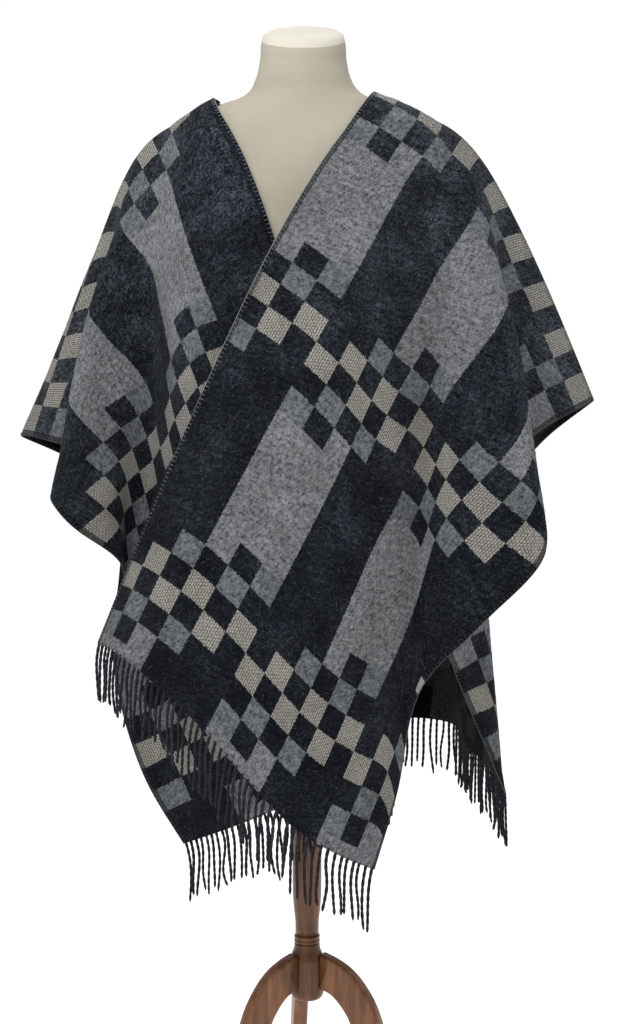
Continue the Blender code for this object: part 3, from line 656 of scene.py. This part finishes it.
def plaid(name, reverse):
    """The charted weave. Bands of checks cross the cloth every 11 squares and broad stripes
    run between them, a half repeat over in each band. Slanted blocks stand on the checks."""
    s = Shader(name, 0.95, Sheen_Weight=0.03, Sheen_Roughness=0.5, Specular_IOR_Level=0.04)
    u, v, _ = s.coordinates("UV")
    fuzz = s.noise(u * 15.0, v * 11.0, detail=3.0, rough=0.7) - 0.5
    fuzz_2 = s.noise(u * 15.0, v * 11.0, 7.3, detail=3.0, rough=0.7) - 0.5
    wavy = u + fuzz * FUZZ
    past_slit = wavy.abs().node("MAXIMUM", (v > 0.0) * FIRST_COLUMN)
    x = past_slit.node("MINIMUM", LAST_COLUMN) * wavy.node("SIGN")
    y = v + fuzz_2 * FUZZ
    column = x.floor()
    gap = (y * (1 / BAND_PITCH)).floor()
    band = (y * (1 / BAND_PITCH) + 0.5).floor()
    off = y - band * BAND_PITCH
    away = off.abs()
    stripe = (column + gap * STRIPE).mod(REPEAT) > STRIPE - 0.5
    check = (column + y.floor()).mod(2.0) > 0.5
    lean = off.node("SIGN") * ((away > 2.0) + 1.0)
    reach = ((x - band * STRIPE + lean + STRIPE).mod(REPEAT) - STRIPE).abs()
    in_band = away < 1.0
    in_motif = ((away < 2.0) * (reach < 2.0)).node("MAXIMUM", (away < 3.0) * (reach < 1.0))
    if reverse:
        stripe = (stripe * -1.0) + 1.0
        check = (check * -1.0) + 1.0

    bend = fuzz * 2.5
    hairs = s.noise(u * 9.0 + v * 3.0 + bend, v * 3.4 - u * 1.2, detail=4.0, rough=0.8)
    cross = s.noise(u * 3.2 - bend, v * 8.0 + u * 3.0, 4.7, detail=4.0, rough=0.8)
    grain = s.noise(u * 14.0, v * 14.0, 3.1, detail=2.0, rough=0.8)
    patch = s.noise(u * 0.55, v * 0.55, 11.0, detail=3.0)
    ribs = (v * (13.0 * 2 * pi) + fuzz * 3.0).wave()
    curl = (s.noise(u * 5.6, v * 5.2, 21.0, detail=1.5) - 0.5).abs().ramp(0.0, 0.020) * -1.0 + 1.0
    curl_2 = (s.noise(u * 8.4, v * 7.6, 33.0, detail=1.5) - 0.5).abs().ramp(0.0, 0.024) * -1.0 + 1.0
    loops = (curl.node("MAXIMUM", curl_2)) * cross.ramp(0.40, 0.60)
    fleck = (hairs * 0.5 + cross * 0.25 + grain * 0.25 + ribs * 0.008).ramp(0.42, 0.60)
    # The pale hairs over the dark wool thicken towards the shoulders and thin out lower down. This paints
    # the top of the dark stripes lighter, as painted light falling from above.
    painted_top_light = (v.abs() * -0.12).node("EXPONENT")
    haze = (hairs * 0.45 + cross * 0.2 + grain * 0.35 + patch * 0.10).ramp(0.49, 0.70)
    sparse = haze * haze * (painted_top_light * 2.2 + 0.30) + loops * (painted_top_light * 0.55 + 0.26)
    dark = s.mix(sparse * (patch.ramp(0.30, 0.70) * 0.9 + 0.55), *CHARCOAL)
    mid = s.mix(fleck, *MID_GREY)
    light = s.mix(fleck + loops * 0.22, *LIGHT_GREY)
    shifted = v * DASHES_DOWN + (u * DASHES_ACROSS).floor() * 0.5
    across_dash = ((u * DASHES_ACROSS).mod(1.0) - 0.5).abs()
    down_dash = (shifted.mod(1.0) - 0.5).abs()
    dash = (across_dash * -1.2 - down_dash * 0.9 + grain * 1.5 + fuzz * 0.8).ramp(-0.30, 0.66)
    cream = s.mix(dash, *CREAM)
    cream = s.mix(sparse * 0.3, cream, CHARCOAL[1])

    colour = s.mix(stripe, dark, light)
    colour = s.mix(in_motif, colour, s.mix(check, dark, mid))
    colour = s.mix(in_band, colour, s.mix(check, dark, cream))
    # A strip along the neck slit, the front edges and the selvedges is darkened towards charcoal: painted
    # shade at the edges.
    from_slit = (u.abs() - NECK_HALF) + (v < 0.0) * 9.0
    from_edge = (u.abs() * -1.0 + SELVEDGE).node("MINIMUM", from_slit)
    edge_shade = (from_edge < EDGE_SHADE_WIDTH) * 0.72
    colour = s.mix(edge_shade, colour, s.mix(grain.ramp(0.5, 1.0), *CHARCOAL))
    tone = patch.ramp(0.25, 0.75) * 0.34 + 0.82
    shade = s.tree.nodes.new("ShaderNodeVectorMath")
    shade.operation = "SCALE"
    s.link(colour, shade.inputs[0])
    # On the inside face the colour is scaled down here by painted shade.
    s.link(tone * (REVERSE_PAINTED_SHADE if reverse else 1.0), shade.inputs["Scale"])
    height = hairs * 0.8 + cross * 0.3 + grain * 0.4 + loops * 0.3 + dash * in_band * check * 0.35
    return s.finish(Wire(s.tree, shade.outputs[0]), height, 0.0016, 0.7)


def yarn(name, dark, pale):
    s = Shader(name, 0.9, Sheen_Weight=0.04, Sheen_Roughness=0.5, Specular_IOR_Level=0.08)
    u, v, _ = s.coordinates("UV")
    each = s.noise(u * 3.7, 0.0, 2.0)
    fibre = s.noise(u * 9.0, v * 60.0, detail=3.0, rough=0.6)
    colour = s.mix(fibre.ramp(0.4, 0.8) * 0.7 + each.ramp(0.45, 0.75) * 0.35, dark, pale)
    return s.finish(colour, fibre, 0.0006, 0.5)


def nap_fibre():
    s = Shader("nap_fibre", 0.95, Sheen_Weight=0.05, Specular_IOR_Level=0.05)
    x, y, z = s.coordinates("Object")
    each = s.noise(x * 130.0, y * 130.0, z * 130.0)
    colour = s.mix(each.ramp(0.35, 0.65), (0.050, 0.056, 0.065), (0.185, 0.195, 0.205))
    return s.finish(colour, each, 0.0002, 0.3)


def stitch_thread(name, dark, pale):
    s = Shader(name, 0.8, Sheen_Weight=0.1, Specular_IOR_Level=0.2)
    x, y, z = s.coordinates("Object")
    fleck = s.noise(x * 900.0, y * 900.0, z * 900.0)
    colour = s.mix(fleck, dark, pale)
    return s.finish(colour, fleck, 0.0003, 0.4)


def cover(name, deep, pale):
    s = Shader(name, 0.9, Sheen_Weight=0.1, Specular_IOR_Level=0.12)
    x, y, z = s.coordinates("Object")
    rows = (z * 2600.0).wave() * (x * 2600.0 + y * 2600.0).wave()
    tone = s.noise(x * 9.0, y * 9.0, z * 9.0, detail=4.0)
    slub = s.noise(x * 60.0, y * 60.0, z * 420.0, detail=2.0)
    pull = s.noise(x * 24.0 + z * 16.0, y * 24.0, z * 7.0, detail=2.0)
    colour = s.mix(tone.ramp(0.3, 0.7) * 0.6 + slub * 0.3, deep, pale)
    height = rows * 0.3 + slub * 0.5 + pull * 2.4
    return s.finish(colour, height, 0.0007, 0.5)


def wood(name, dark, pale):
    s = Shader(name, 0.38, Coat_Weight=0.10, Coat_Roughness=0.25, Specular_IOR_Level=0.30)
    x, y, z = s.coordinates("Object")
    bend = s.noise(x * 14.0, y * 14.0, z * 3.0, detail=3.0) * 3.0
    grain = s.noise(x * 90.0 + bend, y * 90.0, z * 9.0, detail=4.0, rough=0.6)
    pores = s.noise(x * 520.0, y * 520.0, z * 30.0, detail=2.0)
    wear = s.noise(x * 20.0, y * 20.0, z * 12.0, detail=3.0)
    colour = s.mix(grain.ramp(0.3, 0.75), dark, pale)
    colour = s.mix(pores.ramp(0.58, 0.75) * 0.5, colour, [c * 0.45 for c in dark])
    colour = s.mix(wear.ramp(0.62, 0.85) * 0.35, colour, [c * 1.5 for c in pale])
    s.link(grain.ramp(0.0, 1.0) * 0.18 + 0.30, s.surface.inputs["Roughness"])
    return s.finish(colour, grain * 0.6 - pores * 0.4, 0.0005, 0.35)


def tab_cloth():
    s = Shader("tab_weave", 0.7, Sheen_Weight=0.1, Specular_IOR_Level=0.25)
    u, v, _ = s.coordinates("UV")
    weave = (u * 180.0).wave() * (v * 240.0).wave()
    colour = s.mix(weave.ramp(-1.0, 1.0), (0.17, 0.175, 0.18), (0.34, 0.345, 0.35))
    return s.finish(colour, weave, 0.0002, 0.5)


# The cloth, as one mesh that runs over the shoulders from hem to hem.


def build_cloth():
    step = 1.0 / CELLS_PER_SQUARE
    side = np.concatenate([np.arange(NECK_HALF, SELVEDGE - step / 2, step), [SELVEDGE]])
    middle = np.arange(-NECK_HALF + step, NECK_HALF - step / 2, step)
    columns = np.concatenate([-side[::-1], middle, side])
    rows = int(round(HEM / step))
    share = np.linspace(0.0, 1.0, rows + 1)
    top = top_down(columns)
    down = top[:, None] + (HEM - top[:, None]) * share[None, :]
    across = np.repeat(columns[:, None], rows + 1, axis=1)
    back = PANELS["back"].point(across, down)
    points = [back.reshape(-1, 3)]
    flats = [np.stack([across, -down], -1).reshape(-1, 2)]
    lifts = [crease_height("back", across, down).reshape(-1)]
    index = {"back": np.arange(back[..., 0].size).reshape(across.shape)}
    count = points[0].shape[0]
    for name, sign in (("left", 1.0), ("right", -1.0)):
        across_f = np.repeat((sign * side)[:, None], rows + 1, axis=1)
        down_f = np.repeat((HEM * share)[None, :], len(side), axis=0)
        front = PANELS[name].point(across_f, down_f)
        number = np.empty(across_f.shape, int)
        number[:, 1:] = count + np.arange(len(side) * rows).reshape(len(side), rows)
        shared = index["back"][-len(side):, 0] if sign > 0 else index["back"][:len(side), 0][::-1]
        number[:, 0] = shared
        index[name] = number
        points.append(front[:, 1:].reshape(-1, 3))
        flats.append(np.stack([across_f, down_f], -1)[:, 1:].reshape(-1, 2))
        lifts.append(crease_height(name, across_f, down_f)[:, 1:].reshape(-1))
        count += len(side) * rows
    points, flats, lifts = np.concatenate(points), np.concatenate(flats), np.concatenate(lifts)
    faces = []
    for name, flip in (("back", False), ("left", True), ("right", False)):
        n = index[name]
        quads = np.stack([n[:-1, :-1], n[1:, :-1], n[1:, 1:], n[:-1, 1:]], -1).reshape(-1, 4)
        faces.append(quads[:, ::-1] if flip else quads)
    faces = np.concatenate(faces)
    a, b = points[faces[:, 2]] - points[faces[:, 0]], points[faces[:, 3]] - points[faces[:, 1]]
    flat_normals = np.cross(a, b)
    normals = np.zeros_like(points)
    for k in range(4):
        np.add.at(normals, faces[:, k], flat_normals)
    normals /= np.linalg.norm(normals, axis=1, keepdims=True)
    points = off_form(points + normals * lifts[:, None])
    return points, flats, faces, normals, index


def make_cloth(points, flats, faces):
    outside, inside = plaid("plaid_outside", False), plaid("plaid_inside", True)
    cloth = add_mesh("poncho_cloth", points, faces, "plaid_wool", outside, inside)
    lay_out(cloth, "squares", flats)
    solid = cloth.modifiers.new("wall", "SOLIDIFY")
    solid.thickness = WALL
    solid.offset = -1.0
    solid.material_offset = 1
    solid.material_offset_rim = 0
    return cloth


def resample(path, pitch):
    """Rows at even steps along a path. The first three columns are the place."""
    steps = np.linalg.norm(np.diff(path[:, :3], axis=0), axis=1)
    length = np.concatenate([[0.0], np.cumsum(steps)])
    count = max(int(round(length[-1] / pitch)), 2)
    at = np.linspace(0.0, length[-1], count + 1)
    return np.stack([np.interp(at, length, path[:, k]) for k in range(path.shape[1])], -1)


def edge_stitches(name, edge, inner, normals, material):
    """Blanket stitch over an edge: a bead along it and a stitch into the cloth at each step."""
    joined = np.concatenate([edge, inner, normals], axis=1)
    fine = resample(joined, STITCH_PITCH / 2)
    lip = fine[:, :3] - fine[:, 6:9] * WALL * 0.5
    inward = fine[:, 3:6] - fine[:, :3]
    inward /= np.linalg.norm(inward, axis=1, keepdims=True)
    out = fine[:, 6:9] / np.linalg.norm(fine[:, 6:9], axis=1, keepdims=True)
    bead = lip - inward * BEAD_OUT
    stitches = []
    for k in range(1, len(fine) - 1, 2):
        a, d, n = lip[k], inward[k], out[k]
        deep = STITCH_DEPTH * (0.85 + 0.3 * ((k * 7919) % 13) / 13)
        face = WALL * 0.5 + STITCH_RADIUS * 0.6
        stitches.append(np.array([
            a + d * deep + n * (face - STITCH_RADIUS),
            a + d * deep * 0.9 + n * face,
            a + d * deep * 0.3 + n * face,
            a - d * BEAD_OUT + n * face * 0.5,
            a - d * BEAD_OUT * 1.5 - n * face * 0.5,
            a + d * deep * 0.3 - n * face,
            a + d * deep * 0.9 - n * face,
            a + d * deep - n * (face - STITCH_RADIUS),
        ]))
    points, faces = tubes([bead], BEAD_RADIUS, BEAD_SIDES)
    more, more_faces = tubes(stitches, STITCH_RADIUS, STITCH_SIDES)
    faces += [tuple(i + len(points) for i in f) for f in more_faces]
    points += more
    return add_mesh(name, points, faces, "plaid_wool", material)


def make_fringe(name, hem, fall, seed, lean, material):
    """Twisted two-ply strands that leave the hem and hang, each with its own sway."""
    chance = np.random.default_rng(seed)
    joined = resample(np.concatenate([hem, fall], axis=1), STRAND_PITCH)
    ends = len(joined) - 1
    points, faces, marks = [], [], []
    for k in range(ends):
        mix = 0.5 + chance.uniform(-0.12, 0.12)
        spot = joined[k] * (1 - mix) + joined[k + 1] * mix
        root, down = spot[:3], spot[3:6] / np.linalg.norm(spot[3:6])
        length = STRAND_LENGTH * chance.uniform(0.88, 1.06)
        sway = chance.normal(0.0, STRAND_SWAY, 3)
        curl = chance.normal(0.0, STRAND_CURL, 3)
        steps = np.linspace(0.0, 1.0, STRAND_STEPS)
        path = [root - down * STRAND_ROOT]
        for part in steps[1:]:
            bend = min(part * 2.2, 1.0)
            run = down * (1 - bend) * 0.9 + np.array([0.0, 0.0, -1.0]) * (0.35 + bend) + sway * part
            run = run + lean * part
            run /= np.linalg.norm(run)
            path.append(path[-1] + run * length / (STRAND_STEPS - 1))
        path = np.array(path) + np.sin(steps * 5.0 + k)[:, None] * curl * steps[:, None]
        run = np.gradient(path, axis=0)
        run /= np.linalg.norm(run, axis=1, keepdims=True)
        side = np.cross(run, (0.31, 0.95, 0.02))
        side /= np.linalg.norm(side, axis=1, keepdims=True)
        other = np.cross(run, side)
        turn = steps * STRAND_TURNS * 2 * pi + chance.uniform(0, 6)
        thin = PLY_RADIUS * (1.0 - 0.12 * steps) * chance.uniform(0.88, 1.1)
        thin[-2:] *= (0.85, 0.45)
        for ply in (0.0, pi):
            ring = side * np.cos(turn + ply)[:, None] + other * np.sin(turn + ply)[:, None]
            more, more_faces = tubes([path + ring * PLY_OFFSET], thin, PLY_SIDES)
            faces += [tuple(i + len(points) for i in f) for f in more_faces]
            marks += [(k * 0.37 + ply * 0.2, i // PLY_SIDES / STRAND_STEPS) for i in range(len(more))]
            points += more
    made = add_mesh(name, points, faces, "fringe_wool", material)
    lay_out(made, "strand", marks)
    return made


def make_nap(name, points, faces, normals, seed, material):
    """Curved fibres with three sides and a pointed end, spread evenly over the cloth by area."""
    chance = np.random.default_rng(seed)
    corners = points[faces]
    across, down = corners[:, 1] - corners[:, 0], corners[:, 3] - corners[:, 0]
    area = np.linalg.norm(np.cross(across, down), axis=1)
    pick = chance.choice(len(faces), NAP_COUNT, p=area / area.sum())
    a, b = chance.uniform(0.05, 0.95, (2, NAP_COUNT, 1))
    quad, out = corners[pick], normals[faces[pick]].mean(axis=1)
    root = (quad[:, 0] * (1 - a) + quad[:, 1] * a) * (1 - b) + (quad[:, 3] * (1 - a) + quad[:, 2] * a) * b
    out /= np.linalg.norm(out, axis=1, keepdims=True)
    run = chance.normal(0.0, 1.0, (NAP_COUNT, 3)) + np.array([0.0, 0.0, -0.7])
    run -= out * (run * out).sum(axis=1, keepdims=True)
    run /= np.linalg.norm(run, axis=1, keepdims=True)
    side = np.cross(out, run)
    length = NAP_LENGTH * chance.uniform(0.5, 1.3, (NAP_COUNT, 1))
    bend = side * chance.normal(0.0, 0.35, (NAP_COUNT, 1))
    lift = out * NAP_LIFT * chance.uniform(0.2, 1.0, (NAP_COUNT, 1))
    middle = root + (run * 0.5 + bend * 0.5 + lift * 0.5) * length
    tip = root + (run * 0.9 - bend * 0.3 + lift) * length
    rings = []
    for centre, radius in ((root - out * NAP_RADIUS, NAP_RADIUS), (middle, NAP_RADIUS * 0.8)):
        for turn in (0.0, 2 * pi / 3, 4 * pi / 3):
            rings.append(centre + (side * cos(turn) + out * sin(turn)) * radius)
    rings.append(tip)
    made = np.stack(rings, axis=1).reshape(-1, 3)
    shape = [(0, 2, 1), (3, 4, 6), (4, 5, 6), (5, 3, 6)]
    shape += [(k, (k + 1) % 3, 3 + (k + 1) % 3, 3 + k) for k in range(3)]
    starts = np.arange(NAP_COUNT) * 7
    fibres = [tuple(start + i for i in face) for start in starts for face in shape]
    return add_mesh(name, made, fibres, "plaid_wool", material)


def make_tab(material):
    width, length = TAB_WIDTH / SQUARE, TAB_LENGTH / SQUARE
    part = np.linspace(0.0, 1.0, TAB_ROWS)
    wide, tall = np.ones(TAB_COLUMNS), np.ones((TAB_ROWS, 1))
    across = (SELVEDGE - width + width * part)[:, None] * wide
    down = (TAB_DOWN + length * (np.linspace(0.0, 1.0, TAB_COLUMNS) - 0.5))[None, :] * tall
    base = PANELS["left"].point(across, down)
    rise = np.cross(np.gradient(base, axis=1), np.gradient(base, axis=0))
    rise /= np.linalg.norm(rise, axis=-1, keepdims=True)
    lift = crease_height("left", across, down)[..., None]
    edge = np.minimum(np.minimum(part, 1 - part)[:, None] * 6, 1.0) * wide
    over = base + rise * (lift + TAB_LIFT + TAB_THICK * (0.75 + 0.25 * edge[..., None]))
    n = np.arange(TAB_ROWS * TAB_COLUMNS).reshape(TAB_ROWS, TAB_COLUMNS)
    quads = np.stack([n[:-1, :-1], n[:-1, 1:], n[1:, 1:], n[1:, :-1]], -1).reshape(-1, 4)
    made = add_mesh("woven_tab_cloth", over.reshape(-1, 3), quads, "tab_weave", material)
    flat = np.stack([part[:, None] * wide, tall * np.linspace(0, 2, TAB_COLUMNS)], -1)
    lay_out(made, "weave", flat.reshape(-1, 2))
    solid = made.modifiers.new("wall", "SOLIDIFY")
    solid.thickness = TAB_THICK
    solid.offset = -1.0
    bevel = made.modifiers.new("edge", "BEVEL")
    bevel.width = 0.0002
    bevel.segments = 2
    return made


def make_form(material, lit_cap_material):
    table = np.array(FORM_SECTIONS[::-1], float)
    heights = []
    for low, high in zip(table[:-1, 0], table[1:, 0]):
        steps = max(int((high - low) / FORM_STEP), 2)
        heights += list(np.linspace(low, high, steps, endpoint=False))
    heights.append(table[-1, 0])
    heights = np.array(heights)
    rows = smooth_rows(heights, table[:, 0], table[:, 1:])
    straight = np.stack([np.interp(heights, table[:, 0], table[:, k]) for k in range(1, 6)], -1)
    rows = np.where((heights >= CAP_EDGE)[:, None], straight, rows)
    points = []
    for height, (half, front, behind, square, slant) in zip(heights, rows):
        rise = min(max((height - NECK_LEAN_FROM) / NECK_LEAN_OVER, 0.0), 1.0)
        lean = NECK_LEAN * rise * rise * (3 - 2 * rise)
        slant *= 1 + (CAP_SLANT_MORE - 1) * rise
        for k in range(FORM_AROUND):
            a = 2 * pi * k / FORM_AROUND
            c, s = cos(a), sin(a)
            x = half * abs(c) ** (2 / square) * (1 if c > 0 else -1)
            depth = behind if s > 0 else front
            y = depth * abs(s) ** (2 / square) * (1 if s > 0 else -1)
            points.append((x + lean, y, height + slant * y))
    faces = ring_faces(len(heights), FORM_AROUND)
    made = add_mesh("form_cover", points, faces, "form_cover", material, lit_cap_material)
    # Faces of the cap get the paler jersey, which paints a highlight on the top of the neck.
    on_lit_cap = np.repeat(heights[:-1] >= CAP_EDGE, FORM_AROUND).tolist() + [False, True]
    made.data.polygons.foreach_set("material_index", np.array(on_lit_cap, np.int32))
    return made


def make_turned(name, profile, material):
    profile = np.array(profile, float)
    knots = np.concatenate([[0.0], np.cumsum(np.linalg.norm(np.diff(profile, axis=0), axis=1))])
    at = np.linspace(0.0, knots[-1], (len(profile) - 1) * TURNED_STEPS + 1)
    rows = smooth_rows(at, knots, profile)
    turns = [2 * pi * k / TURNED_AROUND for k in range(TURNED_AROUND)]
    points = [(r * cos(a), r * sin(a), z) for z, r in rows for a in turns]
    return add_mesh(name, points, ring_faces(len(rows), TURNED_AROUND), "stand_wood", material)


def make_leg(name, bearing, material):
    knots = np.array(LEG_LINE, float)
    along = np.concatenate([[0.0], np.cumsum(np.linalg.norm(np.diff(knots[:, :2], axis=0), axis=1))])
    rows = smooth_rows(np.linspace(0.0, along[-1], LEG_STEPS + 1), along, knots)
    out = np.array([cos(radians(bearing)), sin(radians(bearing)), 0.0])
    side = np.array([-out[1], out[0], 0.0])
    half_thick, r = LEG_THICK / 2, LEG_ROUND
    corner = [(cos(a) * r, sin(a) * r) for a in np.linspace(0, pi / 2, 5)]
    points = []
    for k, (reach, height, depth) in enumerate(rows):
        run = rows[min(k + 1, LEG_STEPS), :2] - rows[max(k - 1, 0), :2]
        run /= np.linalg.norm(run)
        if k == 0:
            run = np.array([1.0, 0.0])
        middle = out * reach + np.array([0.0, 0.0, height])
        up = out * -run[1] + np.array([0.0, 0.0, run[0]])
        half = depth / 2
        section = [(half_thick - r + a, half - r + b) for a, b in corner]
        section += [(-half_thick + r - b, half - r + a) for a, b in corner]
        section += [(-half_thick + r - a, -half + r - b) for a, b in corner]
        section += [(half_thick - r + b, -half + r - a) for a, b in corner]
        for a, b in section:
            p = middle + side * a + up * b
            points.append((p[0], p[1], max(p[2], 0.0)))
    made = add_mesh(name, points, ring_faces(len(rows), len(section)), "stand_wood", material)
    face_out(made.data)
    return made


# Build.
points, flats, faces, normals, index = build_cloth()
cloth = make_cloth(points, flats, faces)
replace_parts(cloth, "front_left", "front_right", "back")

edge_thread = stitch_thread("edge_thread", (0.17, 0.18, 0.19), (0.38, 0.39, 0.39))
selvedge_thread = stitch_thread("selvedge_thread", (0.040, 0.044, 0.050), (0.13, 0.14, 0.145))
left, right, back = index["left"], index["right"], index["back"]
edges = {
    "left_front_edge": (left[0], left[1]),
    "right_front_edge": (right[0], right[1]),
    "left_front_selvedge": (left[-1], left[-2]),
    "right_front_selvedge": (right[-1], right[-2]),
    "left_back_selvedge": (back[-1], back[-2]),
    "right_back_selvedge": (back[0], back[1]),
}
neck = [n for n in back[:, 0] if abs(flats[n, 0]) <= NECK_HALF]
edges["neck_edge"] = (neck, [n + 1 for n in neck])
trims = [
    edge_stitches("stitch_" + name, points[list(edge)], points[list(inner)], normals[list(edge)],
                  selvedge_thread if "selvedge" in name else edge_thread)
    for name, (edge, inner) in edges.items()
]

nap = make_nap("nap_of_the_wool", points, faces, normals, 5, nap_fibre())

yarn_dark = yarn("fringe_yarn", (0.0045, 0.0055, 0.0080), (0.060, 0.064, 0.070))
for seed, (name, number, lean) in enumerate((
    ("front_left", left, (0.0, -0.02, 0.0)),
    ("front_right", right, (0.0, 0.02, 0.0)),
    ("back", back, (0.0, 0.0, 0.0)),
)):
    hem = points[number[:, -1]] - normals[number[:, -1]] * WALL * 0.5
    fall = points[number[:, -1]] - points[number[:, -3]]
    fringe = make_fringe("fringe_yarn_" + name, hem, fall, 11 + seed, np.array(lean), yarn_dark)
    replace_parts(fringe, "fringe_" + name)

tab = make_tab(tab_cloth())
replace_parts(tab, "woven_tab")
form = make_form(cover("cream_jersey", COVER_DEEP, COVER_PALE), cover("cap_jersey_painted_light", CAP_LIT_DEEP, CAP_LIT_PALE))
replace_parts(form, "dress_form")
dark_wood = wood("turned_wood", (0.055, 0.021, 0.008), (0.185, 0.078, 0.031))
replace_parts(make_turned("pole_wood", POLE_PROFILE, dark_wood), "stand_pole")
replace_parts(make_turned("ring_wood", RING_PROFILE, dark_wood), "stand_ring")
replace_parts(make_turned("hub_wood", HUB_PROFILE, dark_wood), "stand_hub")
leg_wood = wood("leg_wood", (0.085, 0.033, 0.013), (0.300, 0.128, 0.054))
for number, bearing in enumerate(LEG_BEARINGS, 1):
    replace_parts(make_leg(f"leg_wood_{number}", bearing, leg_wood), f"leg_{number}")

# Floor, light and camera.
FLOOR_GLOW = 0.60
SKY_AS_LIGHT = 0.50
SKY_SEEN = 1.02
CAMERA_PLACE = (0.0164, -2.0, 0.95)
CAMERA_DOWN = 1.15
CAMERA_LENS = 34.36
SENSOR_HEIGHT = 24.0

# Columns: name, place, target, size, watts.
LIGHTS = (
    ("key", (-0.5, -1.3, 2.75), (0.0, 0.0, 1.25), 1.3, 36.0),
    ("rim", (0.3, 1.2, 3.0), (0.0, 0.0, 1.4), 1.2, 16.0),
)

ground = Shader("pale_floor", 0.95, Specular_IOR_Level=0.0)
tone = ground.noise(*[c * 0.4 for c in ground.coordinates("Object")])
ground.finish(ground.mix(tone, (0.93, 0.93, 0.93), (0.95, 0.95, 0.95)), tone, 0.0001, 0.1)
ground.surface.inputs["Emission Color"].default_value = (1.0, 1.0, 1.0, 1.0)
ground.surface.inputs["Emission Strength"].default_value = FLOOR_GLOW
bpy.ops.mesh.primitive_plane_add(size=60.0)
floor = bpy.context.object
floor.name = "floor"
floor.data.materials.append(ground.material)

scene = bpy.context.scene
scene.view_settings.view_transform = "Standard"
world = bpy.data.worlds.new("studio")
scene.world = world
world.use_nodes = True
# The sky is white where it is seen and dimmer as a light, so the top light shapes the folds.
sky = world.node_tree.nodes["Background"]
sky.inputs["Color"].default_value = (1.0, 1.0, 1.0, 1.0)
rays = world.node_tree.nodes.new("ShaderNodeLightPath")
level = world.node_tree.nodes.new("ShaderNodeMapRange")
level.inputs["To Min"].default_value = SKY_AS_LIGHT
level.inputs["To Max"].default_value = SKY_SEEN
world.node_tree.links.new(rays.outputs["Is Camera Ray"], level.inputs["Value"])
world.node_tree.links.new(level.outputs["Result"], sky.inputs["Strength"])


def area_light(name, place, target, size, watts):
    light = bpy.data.lights.new(name, "AREA")
    light.shape = "SQUARE"
    light.size = size
    light.energy = watts
    made = bpy.data.objects.new(name, light)
    made.location = place
    made.rotation_euler = (Vector(target) - Vector(place)).to_track_quat("-Z", "Y").to_euler()
    scene.collection.objects.link(made)


for light in LIGHTS:
    area_light(*light)

camera_data = bpy.data.cameras.new("camera")
camera_data.sensor_fit = "VERTICAL"
camera_data.sensor_height = SENSOR_HEIGHT
camera_data.lens = CAMERA_LENS
camera = bpy.data.objects.new("camera", camera_data)
camera.location = Vector(CAMERA_PLACE) + Vector(CENTRE)
camera.rotation_euler = (radians(90.0 - CAMERA_DOWN), 0.0, 0.0)
scene.collection.objects.link(camera)
scene.camera = camera
